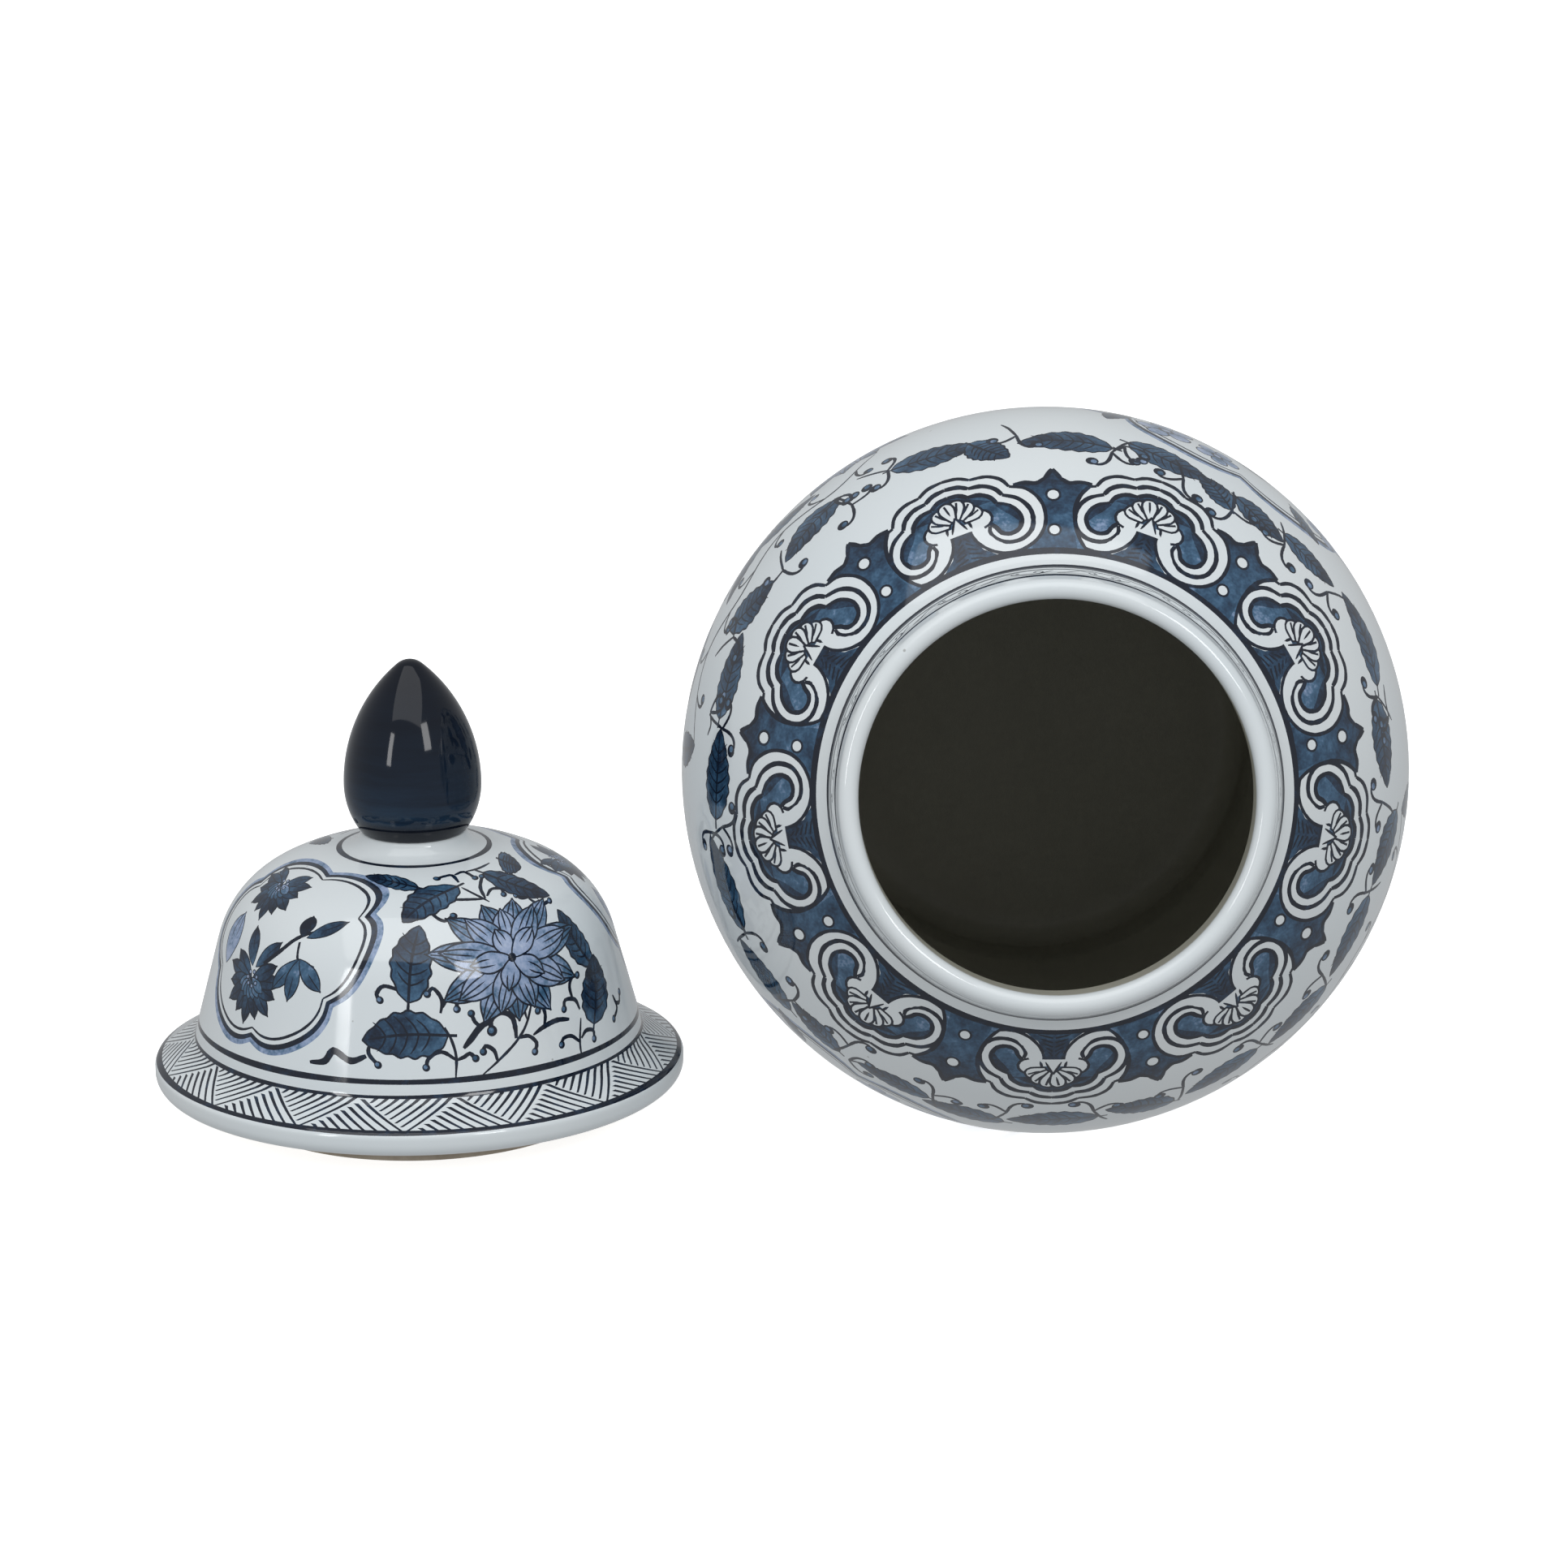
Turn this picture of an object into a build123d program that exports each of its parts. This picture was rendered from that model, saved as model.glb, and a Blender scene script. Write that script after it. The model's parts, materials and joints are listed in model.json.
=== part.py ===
from build123d import *
import os
from math import acos, atan2, cos, degrees, hypot, radians, sin, tan

# Ginger jar with its lid taken off. The jar lies on its side, resting on its belly and on the
# edge of its foot, with its mouth towards -Y. The lid stands upright beside it on its own
# locating ring, towards -X. All sizes are in millimetres.

# ---------------------------------------------------------------- driving dimensions: jar
jar_height = 322.0         # foot to lip, along the jar's own axis
belly_radius = 130.0
belly_height = 204.0       # height of the widest ring above the foot
belly_curve = 115.0        # radius of the arc that forms shoulder and belly
wall = 7.0
mouth_radius = 68.0        # bore of the neck
lip_radius = 75.0          # outside of the rolled lip
neck_root_radius = 78.0    # foot of the short neck
neck_root_height = 303.0
shoulder_top_radius = 81.0 # where the shoulder arc hands over to the hollow below the neck
throat_length = 18.0       # straight bore below the lip
foot_radius = 92.0
foot_ring_width = 8.0
foot_ring_depth = 7.0      # hollow under the base, inside the foot ring
foot_edge = 2.0            # rounding of the foot's outer edge
floor_thickness = 8.0
foot_side_height = 6.0     # upright side of the foot
taper_angle = 15.5         # lean of the straight lower wall
flare_start_height = 70.0  # where the wall starts to curve out to the foot
floor_corner = 10.0        # rounding inside, between wall and floor
floor_wall_height = 35.0   # inner wall that stands nearly upright over that rounding
floor_wall_lean = 1.0      # how far it comes in on the way down

# ---------------------------------------------------------------- driving dimensions: lid
rim_radius = 96.3
rim_bottom_round = 4.5
rim_top_round = 1.8
ring_radius = 66.0         # locating ring, 2 mm smaller than the jar's bore
ring_wall = 6.0
ring_height = 11.5         # locating ring, below the flange's seat
ring_edge = 1.2
rim_height = 9.0           # thickness of the flange at its rim
flange_slope = 30.0        # rise of the flange's top towards the dome
flange_root_radius = 81.0
flange_root_height = 30.5
flange_hollow = 2.2        # width of the hollow where the flange turns up into the dome
dome_foot_radius = 80.6
dome_foot_height = 32.5    # start of the dome wall, above the flange
lid_wall = 6.0
dome_shoulder = (71.8, 65.5)  # radius and height where the wall bends into the shoulder
dome_crown = (51.0, 90.8)     # radius and height where the shoulder goes over to the crown
collar_radius = 26.0       # collar under the knob: its foot, where the crown ends
collar_height = 98.5
knob_seat_radius = 19.0    # top of the collar, on which the knob sits
knob_seat_height = 104.5
shoulder_thinning = 1.5    # inner shoulder sits this much lower than the outer one
crown_thinning = 3.0       # and the inner crown this much nearer the axis

# ---------------------------------------------------------------- driving dimensions: knob
knob_radius = 24.9
knob_widest_height = 122.0
knob_side_curve = 58.5     # radius of the long side above the widest ring
lid_height = 168.0         # to the knob's tip

# ---------------------------------------------------------------- layout
side_gap = 1.2             # clear space between the lid's rim and the jar's belly, seen from above
lid_setback = 136.0        # lid's axis behind the jar's mouth

# The jar rests on two circles of its profile: the belly arc and the rounded edge of the foot.
# Its lean is the slope of the line that touches both.
belly_arc_radius_centre = belly_radius - belly_curve
drop = belly_arc_radius_centre - (foot_radius - foot_edge)
run = belly_height - foot_edge
lean = acos((foot_edge - belly_curve) / hypot(drop, run)) - atan2(run, drop)
mouth_to_belly = jar_height - belly_height
mouth_centre_z = belly_arc_radius_centre * cos(lean) + mouth_to_belly * sin(lean) + belly_curve

# The whole pair is centred on X and Y.
total_width = 2 * rim_radius + side_gap + 2 * belly_radius
lid_x = -total_width / 2 + rim_radius
jar_x = total_width / 2 - belly_radius
lip_round = (lip_radius - mouth_radius) / 2
lip_round_centre = mouth_radius + lip_round
front_reach = lip_round * cos(lean) - lip_round_centre * sin(lean) - lip_round
back_reach = (jar_height - foot_edge) * cos(lean) + (foot_radius - foot_edge) * sin(lean) + foot_edge
mouth_y = -(front_reach + back_reach) / 2
lid_y = mouth_y + lid_setback

# ---------------------------------------------------------------- jar
jar_up = (0, -cos(lean), sin(lean))
foot_centre = (
    jar_x,
    mouth_y + jar_height * cos(lean),
    mouth_centre_z - jar_height * sin(lean),
)
jar_axis = Axis(foot_centre, jar_up)
# Sketch plane through the jar's axis: x is the radius, y the height above the foot.
jar_plane = Plane(origin=foot_centre, x_dir=(1, 0, 0), z_dir=(0, -sin(lean), -cos(lean)))


def belly_point(inset, angle):
    """Point of the belly arc, set in by the wall, at an angle above the widest ring."""
    radius = belly_curve - inset
    angle = radians(angle)
    return (belly_arc_radius_centre + radius * cos(angle), belly_height + radius * sin(angle))


def shoulder_angle(inset, radius):
    """Angle at which the belly arc, set in by the wall, comes in to a radius."""
    return degrees(acos((radius - belly_arc_radius_centre) / (belly_curve - inset)))


def taper_point(inset, height):
    """Point of the straight lower wall, set in by the wall, at a height above the foot."""
    radius, top = belly_point(inset, -taper_angle)
    return (radius - (top - height) * tan(radians(taper_angle)), height)


shoulder_top_angle = shoulder_angle(0, shoulder_top_radius)
shoulder_up = (-sin(radians(shoulder_top_angle)), cos(radians(shoulder_top_angle)))
shoulder_top = belly_point(0, shoulder_top_angle)
neck_root = (neck_root_radius, neck_root_height)
lip_outside = (lip_radius, jar_height - lip_round)
lip_inside = (mouth_radius, jar_height - lip_round)
throat_bottom = (mouth_radius, jar_height - lip_round - throat_length)
inner_shoulder = belly_point(wall, shoulder_angle(wall, mouth_radius + wall))
floor_top = foot_ring_depth + floor_thickness
taper_down = (-sin(radians(taper_angle)), -cos(radians(taper_angle)))
foot_side = (foot_radius, foot_side_height)
foot_ring_inside = foot_radius - foot_ring_width
floor_side = taper_point(wall, floor_top + floor_corner + floor_wall_height)
floor_bend = (floor_side[0] - floor_wall_lean, floor_top + floor_corner)

with BuildPart() as jar_body:
    with BuildSketch(jar_plane):
        with BuildLine():
            # foot ring and the glazed hollow under the base
            Polyline(
                (0, foot_ring_depth),
                (foot_ring_inside, foot_ring_depth),
                (foot_ring_inside, 0),
                (foot_radius - foot_edge, 0),
            )
            JernArc((foot_radius - foot_edge, 0), (1, 0), foot_edge, 90)
            Line((foot_radius, foot_edge), foot_side)
            # outside: hollow above the foot, straight lower wall, belly and shoulder arc
            flare_start = taper_point(0, flare_start_height)
            TangentArc(flare_start, foot_side, tangent=taper_down)
            Line(belly_point(0, -taper_angle), flare_start)
            ThreePointArc(belly_point(0, -taper_angle), belly_point(0, 0), shoulder_top)
            # hollow below the neck, neck and rolled lip
            TangentArc(shoulder_top, neck_root, tangent=shoulder_up)
            Line(neck_root, lip_outside)
            ThreePointArc(lip_outside, (lip_round_centre, jar_height), lip_inside)
            # inside: throat, shoulder, wall and floor
            Polyline(lip_inside, throat_bottom, inner_shoulder)
            ThreePointArc(inner_shoulder, belly_point(wall, 0), belly_point(wall, -taper_angle))
            Polyline(belly_point(wall, -taper_angle), floor_side, floor_bend)
            JernArc(floor_bend, (0, -1), floor_corner, -90)
            Polyline((floor_bend[0] - floor_corner, floor_top), (0, floor_top), (0, foot_ring_depth))
        make_face()
    revolve(axis=jar_axis)

# ---------------------------------------------------------------- lid
lid_plane = Plane(origin=(lid_x, lid_y, 0), x_dir=(1, 0, 0), z_dir=(0, -1, 0))
lid_axis = Axis((lid_x, lid_y, 0), (0, 0, 1))
seat = ring_height
rim_top = seat + rim_height
ring_bore = ring_radius - ring_wall
ring_bore_top = ring_height - ring_edge
rim_turn = 90 - flange_slope
flange_up = (-cos(radians(flange_slope)), sin(radians(flange_slope)))
flange_start = (
    rim_radius - rim_top_round * (1 - cos(radians(rim_turn))),
    rim_top - rim_top_round * (1 - sin(radians(rim_turn))),
)
flange_length = flange_start[0] - flange_root_radius - flange_hollow
flange_end = (
    flange_start[0] - flange_length,
    flange_start[1] + flange_length * tan(radians(flange_slope)),
)
flange_root = (flange_root_radius, flange_root_height)
dome_foot = (dome_foot_radius, dome_foot_height)
cavity_foot = (dome_foot_radius - lid_wall, flange_root_height - lid_wall)
cavity_shoulder = (dome_shoulder[0] - lid_wall, dome_shoulder[1] - shoulder_thinning)
cavity_crown = (dome_crown[0] - crown_thinning, dome_crown[1] - lid_wall)
cavity_top = (0, collar_height - lid_wall)


def direction(start, end):
    """Direction of the straight line between two profile points."""
    return (end[0] - start[0], end[1] - start[1])


with BuildPart() as lid_shell:
    with BuildSketch(lid_plane):
        with BuildLine():
            # locating ring, which drops into the jar's mouth, and the flange's seat
            Polyline(
                (ring_bore, ring_bore_top),
                (ring_bore, ring_edge),
                (ring_bore + ring_edge, 0),
                (ring_radius - ring_edge, 0),
                (ring_radius, ring_edge),
                (ring_radius, seat),
                (rim_radius - rim_bottom_round, seat),
            )
            # rounded rim
            JernArc((rim_radius - rim_bottom_round, seat), (1, 0), rim_bottom_round, 90)
            Line((rim_radius, seat + rim_bottom_round), (rim_radius, rim_top - rim_top_round))
            JernArc((rim_radius, rim_top - rim_top_round), (0, 1), rim_top_round, rim_turn)
            # sloping flange, turned up into the dome
            Line(flange_start, flange_end)
            TangentArc(flange_end, flange_root, tangent=flange_up)
            Polyline(flange_root, dome_foot, dome_shoulder)
            # shoulder and crown of the dome, and the collar under the knob
            shoulder = TangentArc(dome_shoulder, dome_crown, tangent=direction(dome_foot, dome_shoulder))
            crown = TangentArc(dome_crown, (collar_radius, collar_height), tangent=shoulder % 1)
            TangentArc(
                (collar_radius, collar_height),
                (knob_seat_radius, knob_seat_height),
                tangent=crown % 1,
            )
            Polyline((knob_seat_radius, knob_seat_height), (0, knob_seat_height), cavity_top)
            # inside of the dome
            TangentArc(cavity_top, cavity_crown, tangent=(1, 0))
            TangentArc(
                cavity_shoulder,
                cavity_crown,
                tangent=direction(cavity_foot, cavity_shoulder),
            )
            Polyline(cavity_shoulder, cavity_foot, (ring_bore, ring_bore_top))
        make_face()
    revolve(axis=lid_axis)

# ---------------------------------------------------------------- knob
# The long side and the round tip are two arcs that touch. The tip's radius follows from that.
knob_rise = lid_height - knob_widest_height
side_centre_x = knob_radius - knob_side_curve
tip_curve = (knob_side_curve**2 - knob_rise**2 - side_centre_x**2) / (2 * (knob_side_curve - knob_rise))
to_tip = atan2(knob_rise - tip_curve, -side_centre_x)
tip_start = (
    side_centre_x + knob_side_curve * cos(to_tip),
    knob_widest_height + knob_side_curve * sin(to_tip),
)

with BuildPart() as lid_knob:
    with BuildSketch(lid_plane):
        with BuildLine():
            TangentArc(
                (knob_radius, knob_widest_height),
                (knob_seat_radius, knob_seat_height),
                tangent=(0, -1),
            )
            side = TangentArc((knob_radius, knob_widest_height), tip_start, tangent=(0, 1))
            TangentArc(tip_start, (0, lid_height), tangent=side % 1)
            Polyline((0, lid_height), (0, knob_seat_height), (knob_seat_radius, knob_seat_height))
        make_face()
    revolve(axis=lid_axis)

os.makedirs("parts", exist_ok=True)
jar_body.part.label = "jar_body"
export_step(jar_body.part, "parts/jar_body.step")
lid_shell.part.label = "lid_shell"
export_step(lid_shell.part, "parts/lid_shell.step")
lid_knob.part.label = "lid_knob"
export_step(lid_knob.part, "parts/lid_knob.step")
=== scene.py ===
import json
import random
from bisect import bisect_right
from math import acos, atan2, ceil, cos, hypot, pi, radians, sin, tan

import bmesh
import bpy
from mathutils import Matrix, Vector
from mathutils.geometry import delaunay_2d_cdt

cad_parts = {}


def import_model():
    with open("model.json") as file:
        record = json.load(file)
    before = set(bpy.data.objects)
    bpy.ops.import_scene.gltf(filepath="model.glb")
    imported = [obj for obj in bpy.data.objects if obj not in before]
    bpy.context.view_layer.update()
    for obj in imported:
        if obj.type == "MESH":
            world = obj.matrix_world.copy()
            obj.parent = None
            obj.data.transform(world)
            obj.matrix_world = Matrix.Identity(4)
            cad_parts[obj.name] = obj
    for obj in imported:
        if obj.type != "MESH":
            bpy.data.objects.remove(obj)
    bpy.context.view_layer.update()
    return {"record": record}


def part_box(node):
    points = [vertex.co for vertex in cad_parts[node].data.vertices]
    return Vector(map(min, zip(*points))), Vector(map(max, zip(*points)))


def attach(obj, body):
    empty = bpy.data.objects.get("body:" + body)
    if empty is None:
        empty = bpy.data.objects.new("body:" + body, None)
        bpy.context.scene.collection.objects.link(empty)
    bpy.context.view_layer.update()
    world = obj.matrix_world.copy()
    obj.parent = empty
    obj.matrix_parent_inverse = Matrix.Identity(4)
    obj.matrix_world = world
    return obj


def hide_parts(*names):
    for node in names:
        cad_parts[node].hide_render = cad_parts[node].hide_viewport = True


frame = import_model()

MM = 0.001

# ------------------------------------------------------------------ outlines of the pottery, mm
# The outer and inner profiles follow the CAD parts: radius from the axis, height above the foot.
JAR_HEIGHT = 322.0
BELLY_HEIGHT = 204.0
BELLY_CENTRE = 15.0
BELLY_CURVE = 115.0
WALL = 7.0
MOUTH_RADIUS = 68.0
LIP_RADIUS = 75.0
LIP_ROUND = (LIP_RADIUS - MOUTH_RADIUS) / 2
FOOT_RADIUS = 92.0
FOOT_RING_INSIDE = 84.0
FOOT_RING_DEPTH = 7.0
FOOT_EDGE = 2.0
TAPER = radians(15.5)
FLOOR_TOP = 15.0
LID_HEIGHT = 168.0
RIM_RADIUS = 96.3
RIM_EDGE = 1.8
RIM_UNDERSIDE = 4.5
SEAT_HEIGHT = 11.5
RING_INSIDE = 60.0
RING_OUTSIDE = 66.0
RING_EDGE = 1.2
DOME_ROOT = 81.0
KNOB_SEAT = (19.0, 104.5)
BORE_LENGTH = 18.0

COLUMNS = 144             # facets round every body of revolution
SECTORS = 18              # tiles round a decorated strip
TILE_ROWS = 8             # rows of surface points in a tile


def between(a, b, part):
    """Point at a part of the way from a to b."""
    return a[0] + (b[0] - a[0]) * part, a[1] + (b[1] - a[1]) * part


def line(start, end, step=0.5):
    """Points from start up to, but without, end."""
    count = max(1, ceil(hypot(end[0] - start[0], end[1] - start[1]) / step))
    return [
        (start[0] + (end[0] - start[0]) * i / count, start[1] + (end[1] - start[1]) * i / count)
        for i in range(count)
    ]


def tangent_arc(start, end, along, step=0.5):
    """Arc that leaves start in the direction along and reaches end, without end itself."""
    chord = atan2(end[1] - start[1], end[0] - start[0])
    turn = chord - atan2(along[1], along[0])
    turn = (turn + pi) % (2 * pi) - pi
    length = hypot(end[0] - start[0], end[1] - start[1])
    if abs(turn) < 1e-4:
        return line(start, end, step)
    radius = length / (2 * sin(turn))
    first = atan2(along[1], along[0])
    count = max(2, ceil(abs(2 * turn * radius) / step))
    points = []
    for i in range(count):
        heading = first + 2 * turn * i / count
        points.append((
            start[0] + radius * (sin(heading) - sin(first)),
            start[1] - radius * (cos(heading) - cos(first)),
        ))
    return points


class Outline:
    """Profile made of runs, each from the point the last one reached."""

    def __init__(self, start):
        self.points, self.end = [], start

    def line(self, end, step=0.5):
        self.points += line(self.end, end, step)
        self.end = end

    def arc(self, end, along, step=0.5):
        self.points += tangent_arc(self.end, end, along, step)
        self.end = end

    def mark(self):
        return len(self.points)

    def whole(self):
        return self.points + [self.end]


def end_heading(start, end, along):
    """Direction in which the tangent arc arrives."""
    chord = atan2(end[1] - start[1], end[0] - start[0])
    heading = 2 * chord - atan2(along[1], along[0])
    return (cos(heading), sin(heading))


def belly(inset, angle):
    reach = BELLY_CURVE - inset
    return (BELLY_CENTRE + reach * cos(angle), BELLY_HEIGHT + reach * sin(angle))


def taper(inset, height):
    radius, top = belly(inset, -TAPER)
    return (radius - (top - height) * tan(TAPER), height)


def jar_profile():
    """Closed outline from the middle of the base, up the outside, down to the inner floor."""
    down = (-sin(TAPER), -cos(TAPER))
    flare, side = taper(0, 70.0), (FOOT_RADIUS, 6.0)
    flare_end = end_heading(flare, side, down)
    crest = acos((81.0 - BELLY_CENTRE) / BELLY_CURVE)
    root = (78.0, 303.0)
    lip_out = (LIP_RADIUS, JAR_HEIGHT - LIP_ROUND)
    lip_in = (MOUTH_RADIUS, JAR_HEIGHT - LIP_ROUND)
    throat = (MOUTH_RADIUS, lip_in[1] - BORE_LENGTH)
    inner = acos((MOUTH_RADIUS + WALL - BELLY_CENTRE) / (BELLY_CURVE - WALL))
    low = taper(WALL, FLOOR_TOP + 36.0)
    bend = (low[0] - 1.0, FLOOR_TOP + 10.0)
    path = Outline((0, FOOT_RING_DEPTH))
    path.line((FOOT_RING_INSIDE, FOOT_RING_DEPTH), 6.0)
    path.line((FOOT_RING_INSIDE, 0))
    path.line((FOOT_RADIUS - FOOT_EDGE, 0))
    path.arc((FOOT_RADIUS, FOOT_EDGE), (1, 0))
    outside_low = path.mark()
    path.line(side)
    path.arc(flare, (-flare_end[0], -flare_end[1]))
    path.line(belly(0, -TAPER))
    path.arc(belly(0, crest), (sin(TAPER), cos(TAPER)))
    path.arc(root, (-sin(crest), cos(crest)))
    path.line(lip_out)
    outside_high = path.mark()
    path.arc((LIP_RADIUS - LIP_ROUND, JAR_HEIGHT), (0, 1))
    path.arc(lip_in, (-1, 0))
    inside_start = path.mark()
    path.line(throat)
    path.line(belly(WALL, inner))
    path.arc(belly(WALL, -TAPER), (sin(inner), -cos(inner)), 2.0)
    path.line(low, 3.0)
    path.line(bend)
    path.arc((bend[0] - 10.0, FLOOR_TOP), (0, -1))
    path.line((0, FLOOR_TOP), 6.0)
    return path.whole(), (outside_low, outside_high, inside_start)


def lid_profile():
    """Outline from the top of the hollow, down inside, round the ring and rim, up to the knob."""
    slope = radians(30.0)
    turn = pi / 2 - slope
    rim_top = SEAT_HEIGHT + 9.0
    flange = (RIM_RADIUS - RIM_EDGE * (1 - cos(turn)), rim_top - RIM_EDGE * (1 - sin(turn)))
    run = flange[0] - DOME_ROOT - 2.2
    root = (flange[0] - run, flange[1] + run * tan(slope))
    foot, shoulder, crown = (80.6, 32.5), (71.8, 65.5), (51.0, 90.8)
    collar = (26.0, 98.5)
    wall_up = (shoulder[0] - foot[0], shoulder[1] - foot[1])
    at_crown = end_heading(shoulder, crown, wall_up)
    at_collar = end_heading(crown, collar, at_crown)
    hollow_foot, hollow_shoulder, hollow_crown = (74.6, 24.5), (65.8, 64.0), (48.0, 84.8)
    hollow_top = (0, 92.5)
    into = end_heading(hollow_top, hollow_crown, (1, 0))
    ring_top, bare_edge, dome_root = (RING_INSIDE, 10.3), (84.0, SEAT_HEIGHT), (DOME_ROOT, 30.5)
    path = Outline(hollow_top)
    path.arc(hollow_crown, (1, 0), 3.0)
    path.arc(hollow_shoulder, into, 2.0)
    path.line(hollow_foot, 3.0)
    path.line(ring_top, 2.0)
    bare_low = path.mark()
    path.line((RING_INSIDE, RING_EDGE))
    path.arc((RING_INSIDE + RING_EDGE, 0), (0, -1))
    path.line((RING_OUTSIDE - RING_EDGE, 0))
    path.arc((RING_OUTSIDE, RING_EDGE), (1, 0))
    path.line((RING_OUTSIDE, SEAT_HEIGHT))
    path.line(bare_edge)
    bare_high = path.mark()
    path.line((RIM_RADIUS - RIM_UNDERSIDE, SEAT_HEIGHT))
    path.arc((RIM_RADIUS, SEAT_HEIGHT + RIM_UNDERSIDE), (1, 0))
    path.line((RIM_RADIUS, rim_top - RIM_EDGE))
    painted_low = path.mark()
    path.arc(flange, (0, 1))
    path.line(root)
    path.arc(dome_root, (-cos(slope), sin(slope)))
    path.line(foot)
    path.line(shoulder)
    path.arc(crown, wall_up)
    path.arc(collar, at_crown)
    painted_high = path.mark()
    path.arc(KNOB_SEAT, at_collar)
    path.line((0, KNOB_SEAT[1]), 3.0)
    return path.whole(), (bare_low, bare_high, painted_low, painted_high)


def knob_profile():
    """Bud: a long side and a round tip that touch, closed underneath."""
    radius, widest, reach = 24.9, 122.0, 58.5
    rise, side_x = LID_HEIGHT - widest, radius - reach
    tip = (reach**2 - rise**2 - side_x**2) / (2 * (reach - rise))
    swing = atan2(rise - tip, -side_x)
    shoulder = (side_x + reach * cos(swing), widest + reach * sin(swing))
    low = end_heading((radius, widest), KNOB_SEAT, (0, -1))
    path = Outline((0, KNOB_SEAT[1]))
    path.line(KNOB_SEAT, 3.0)
    path.arc((radius, widest), (-low[0], -low[1]))
    path.arc(shoulder, (0, 1))
    path.arc((0, LID_HEIGHT), (-sin(swing), cos(swing)))
    return path.whole()


class Lathe:
    """A body of revolution: places on it are an angle and a length along its outline."""

    def __init__(self, points, origin, side, forward, soften=1.2):
        self.points = points
        self.origin = Vector(origin)
        self.side = Vector(side)
        self.forward = Vector(forward)
        self.axis = self.side.cross(self.forward)
        self.run = [0.0]
        for a, b in zip(points, points[1:]):
            self.run.append(self.run[-1] + hypot(b[0] - a[0], b[1] - a[1]))
        self.soften = soften

    def at(self, s):
        """Radius and height at a length along the outline."""
        s = min(max(s, 0.0), self.run[-1])
        i = min(bisect_right(self.run, s), len(self.run) - 1) - 1
        part = (s - self.run[i]) / max(self.run[i + 1] - self.run[i], 1e-9)
        return between(self.points[i], self.points[i + 1], part)

    def radius(self, s):
        return max(self.at(s)[0], 1.0)

    def where(self, value, low, high, which=0):
        """Length between low and high at which the radius (0) or height (1) has a value."""
        rising = self.at(high)[which] > self.at(low)[which]
        for _ in range(40):
            middle = (low + high) / 2
            if (self.at(middle)[which] < value) == rising:
                low = middle
            else:
                high = middle
        return low

    def point(self, angle, s):
        radius, height = self.at(s)
        out = self.side * cos(angle) + self.forward * sin(angle)
        return (self.origin + out * radius + self.axis * height) * MM

    def normal(self, out, s):
        """Surface direction, with the corners of the outline eased as thick glaze eases them."""
        a, b = self.at(s - self.soften), self.at(s + self.soften)
        if hypot(b[0] - a[0], b[1] - a[1]) < 1e-6:
            return self.axis.copy()
        return (out * (b[1] - a[1]) - self.axis * (b[0] - a[0])).normalized()


# ------------------------------------------------------------------ brush work
INK_WHITE, INK_PALE, INK_WASH, INK_DEEP, INK_LINE = 0.0, 0.3, 0.5, 0.72, 0.95


def smooth(points, closed=False, step=1.0):
    """Even, flowing line through a few points."""
    count = len(points)
    result = []
    for i in range(count if closed else count - 1):
        if closed:
            a, b, c, d = (points[(i + k) % count] for k in (-1, 0, 1, 2))
        else:
            b, c = points[i], points[i + 1]
            a = points[i - 1] if i else (2 * b[0] - c[0], 2 * b[1] - c[1])
            d = points[i + 2] if i + 2 < count else (2 * c[0] - b[0], 2 * c[1] - b[1])
        steps = max(1, ceil(hypot(c[0] - b[0], c[1] - b[1]) / step))
        for k in range(steps):
            t = k / steps
            result.append(tuple(
                0.5 * (2 * q + (r - p) * t + (2 * p - 5 * q + 4 * r - u) * t * t
                       + (3 * q - p - 3 * r + u) * t**3)
                for p, q, r, u in zip(a, b, c, d)
            ))
    if not closed:
        result.append(tuple(points[-1]))
    return result


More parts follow.
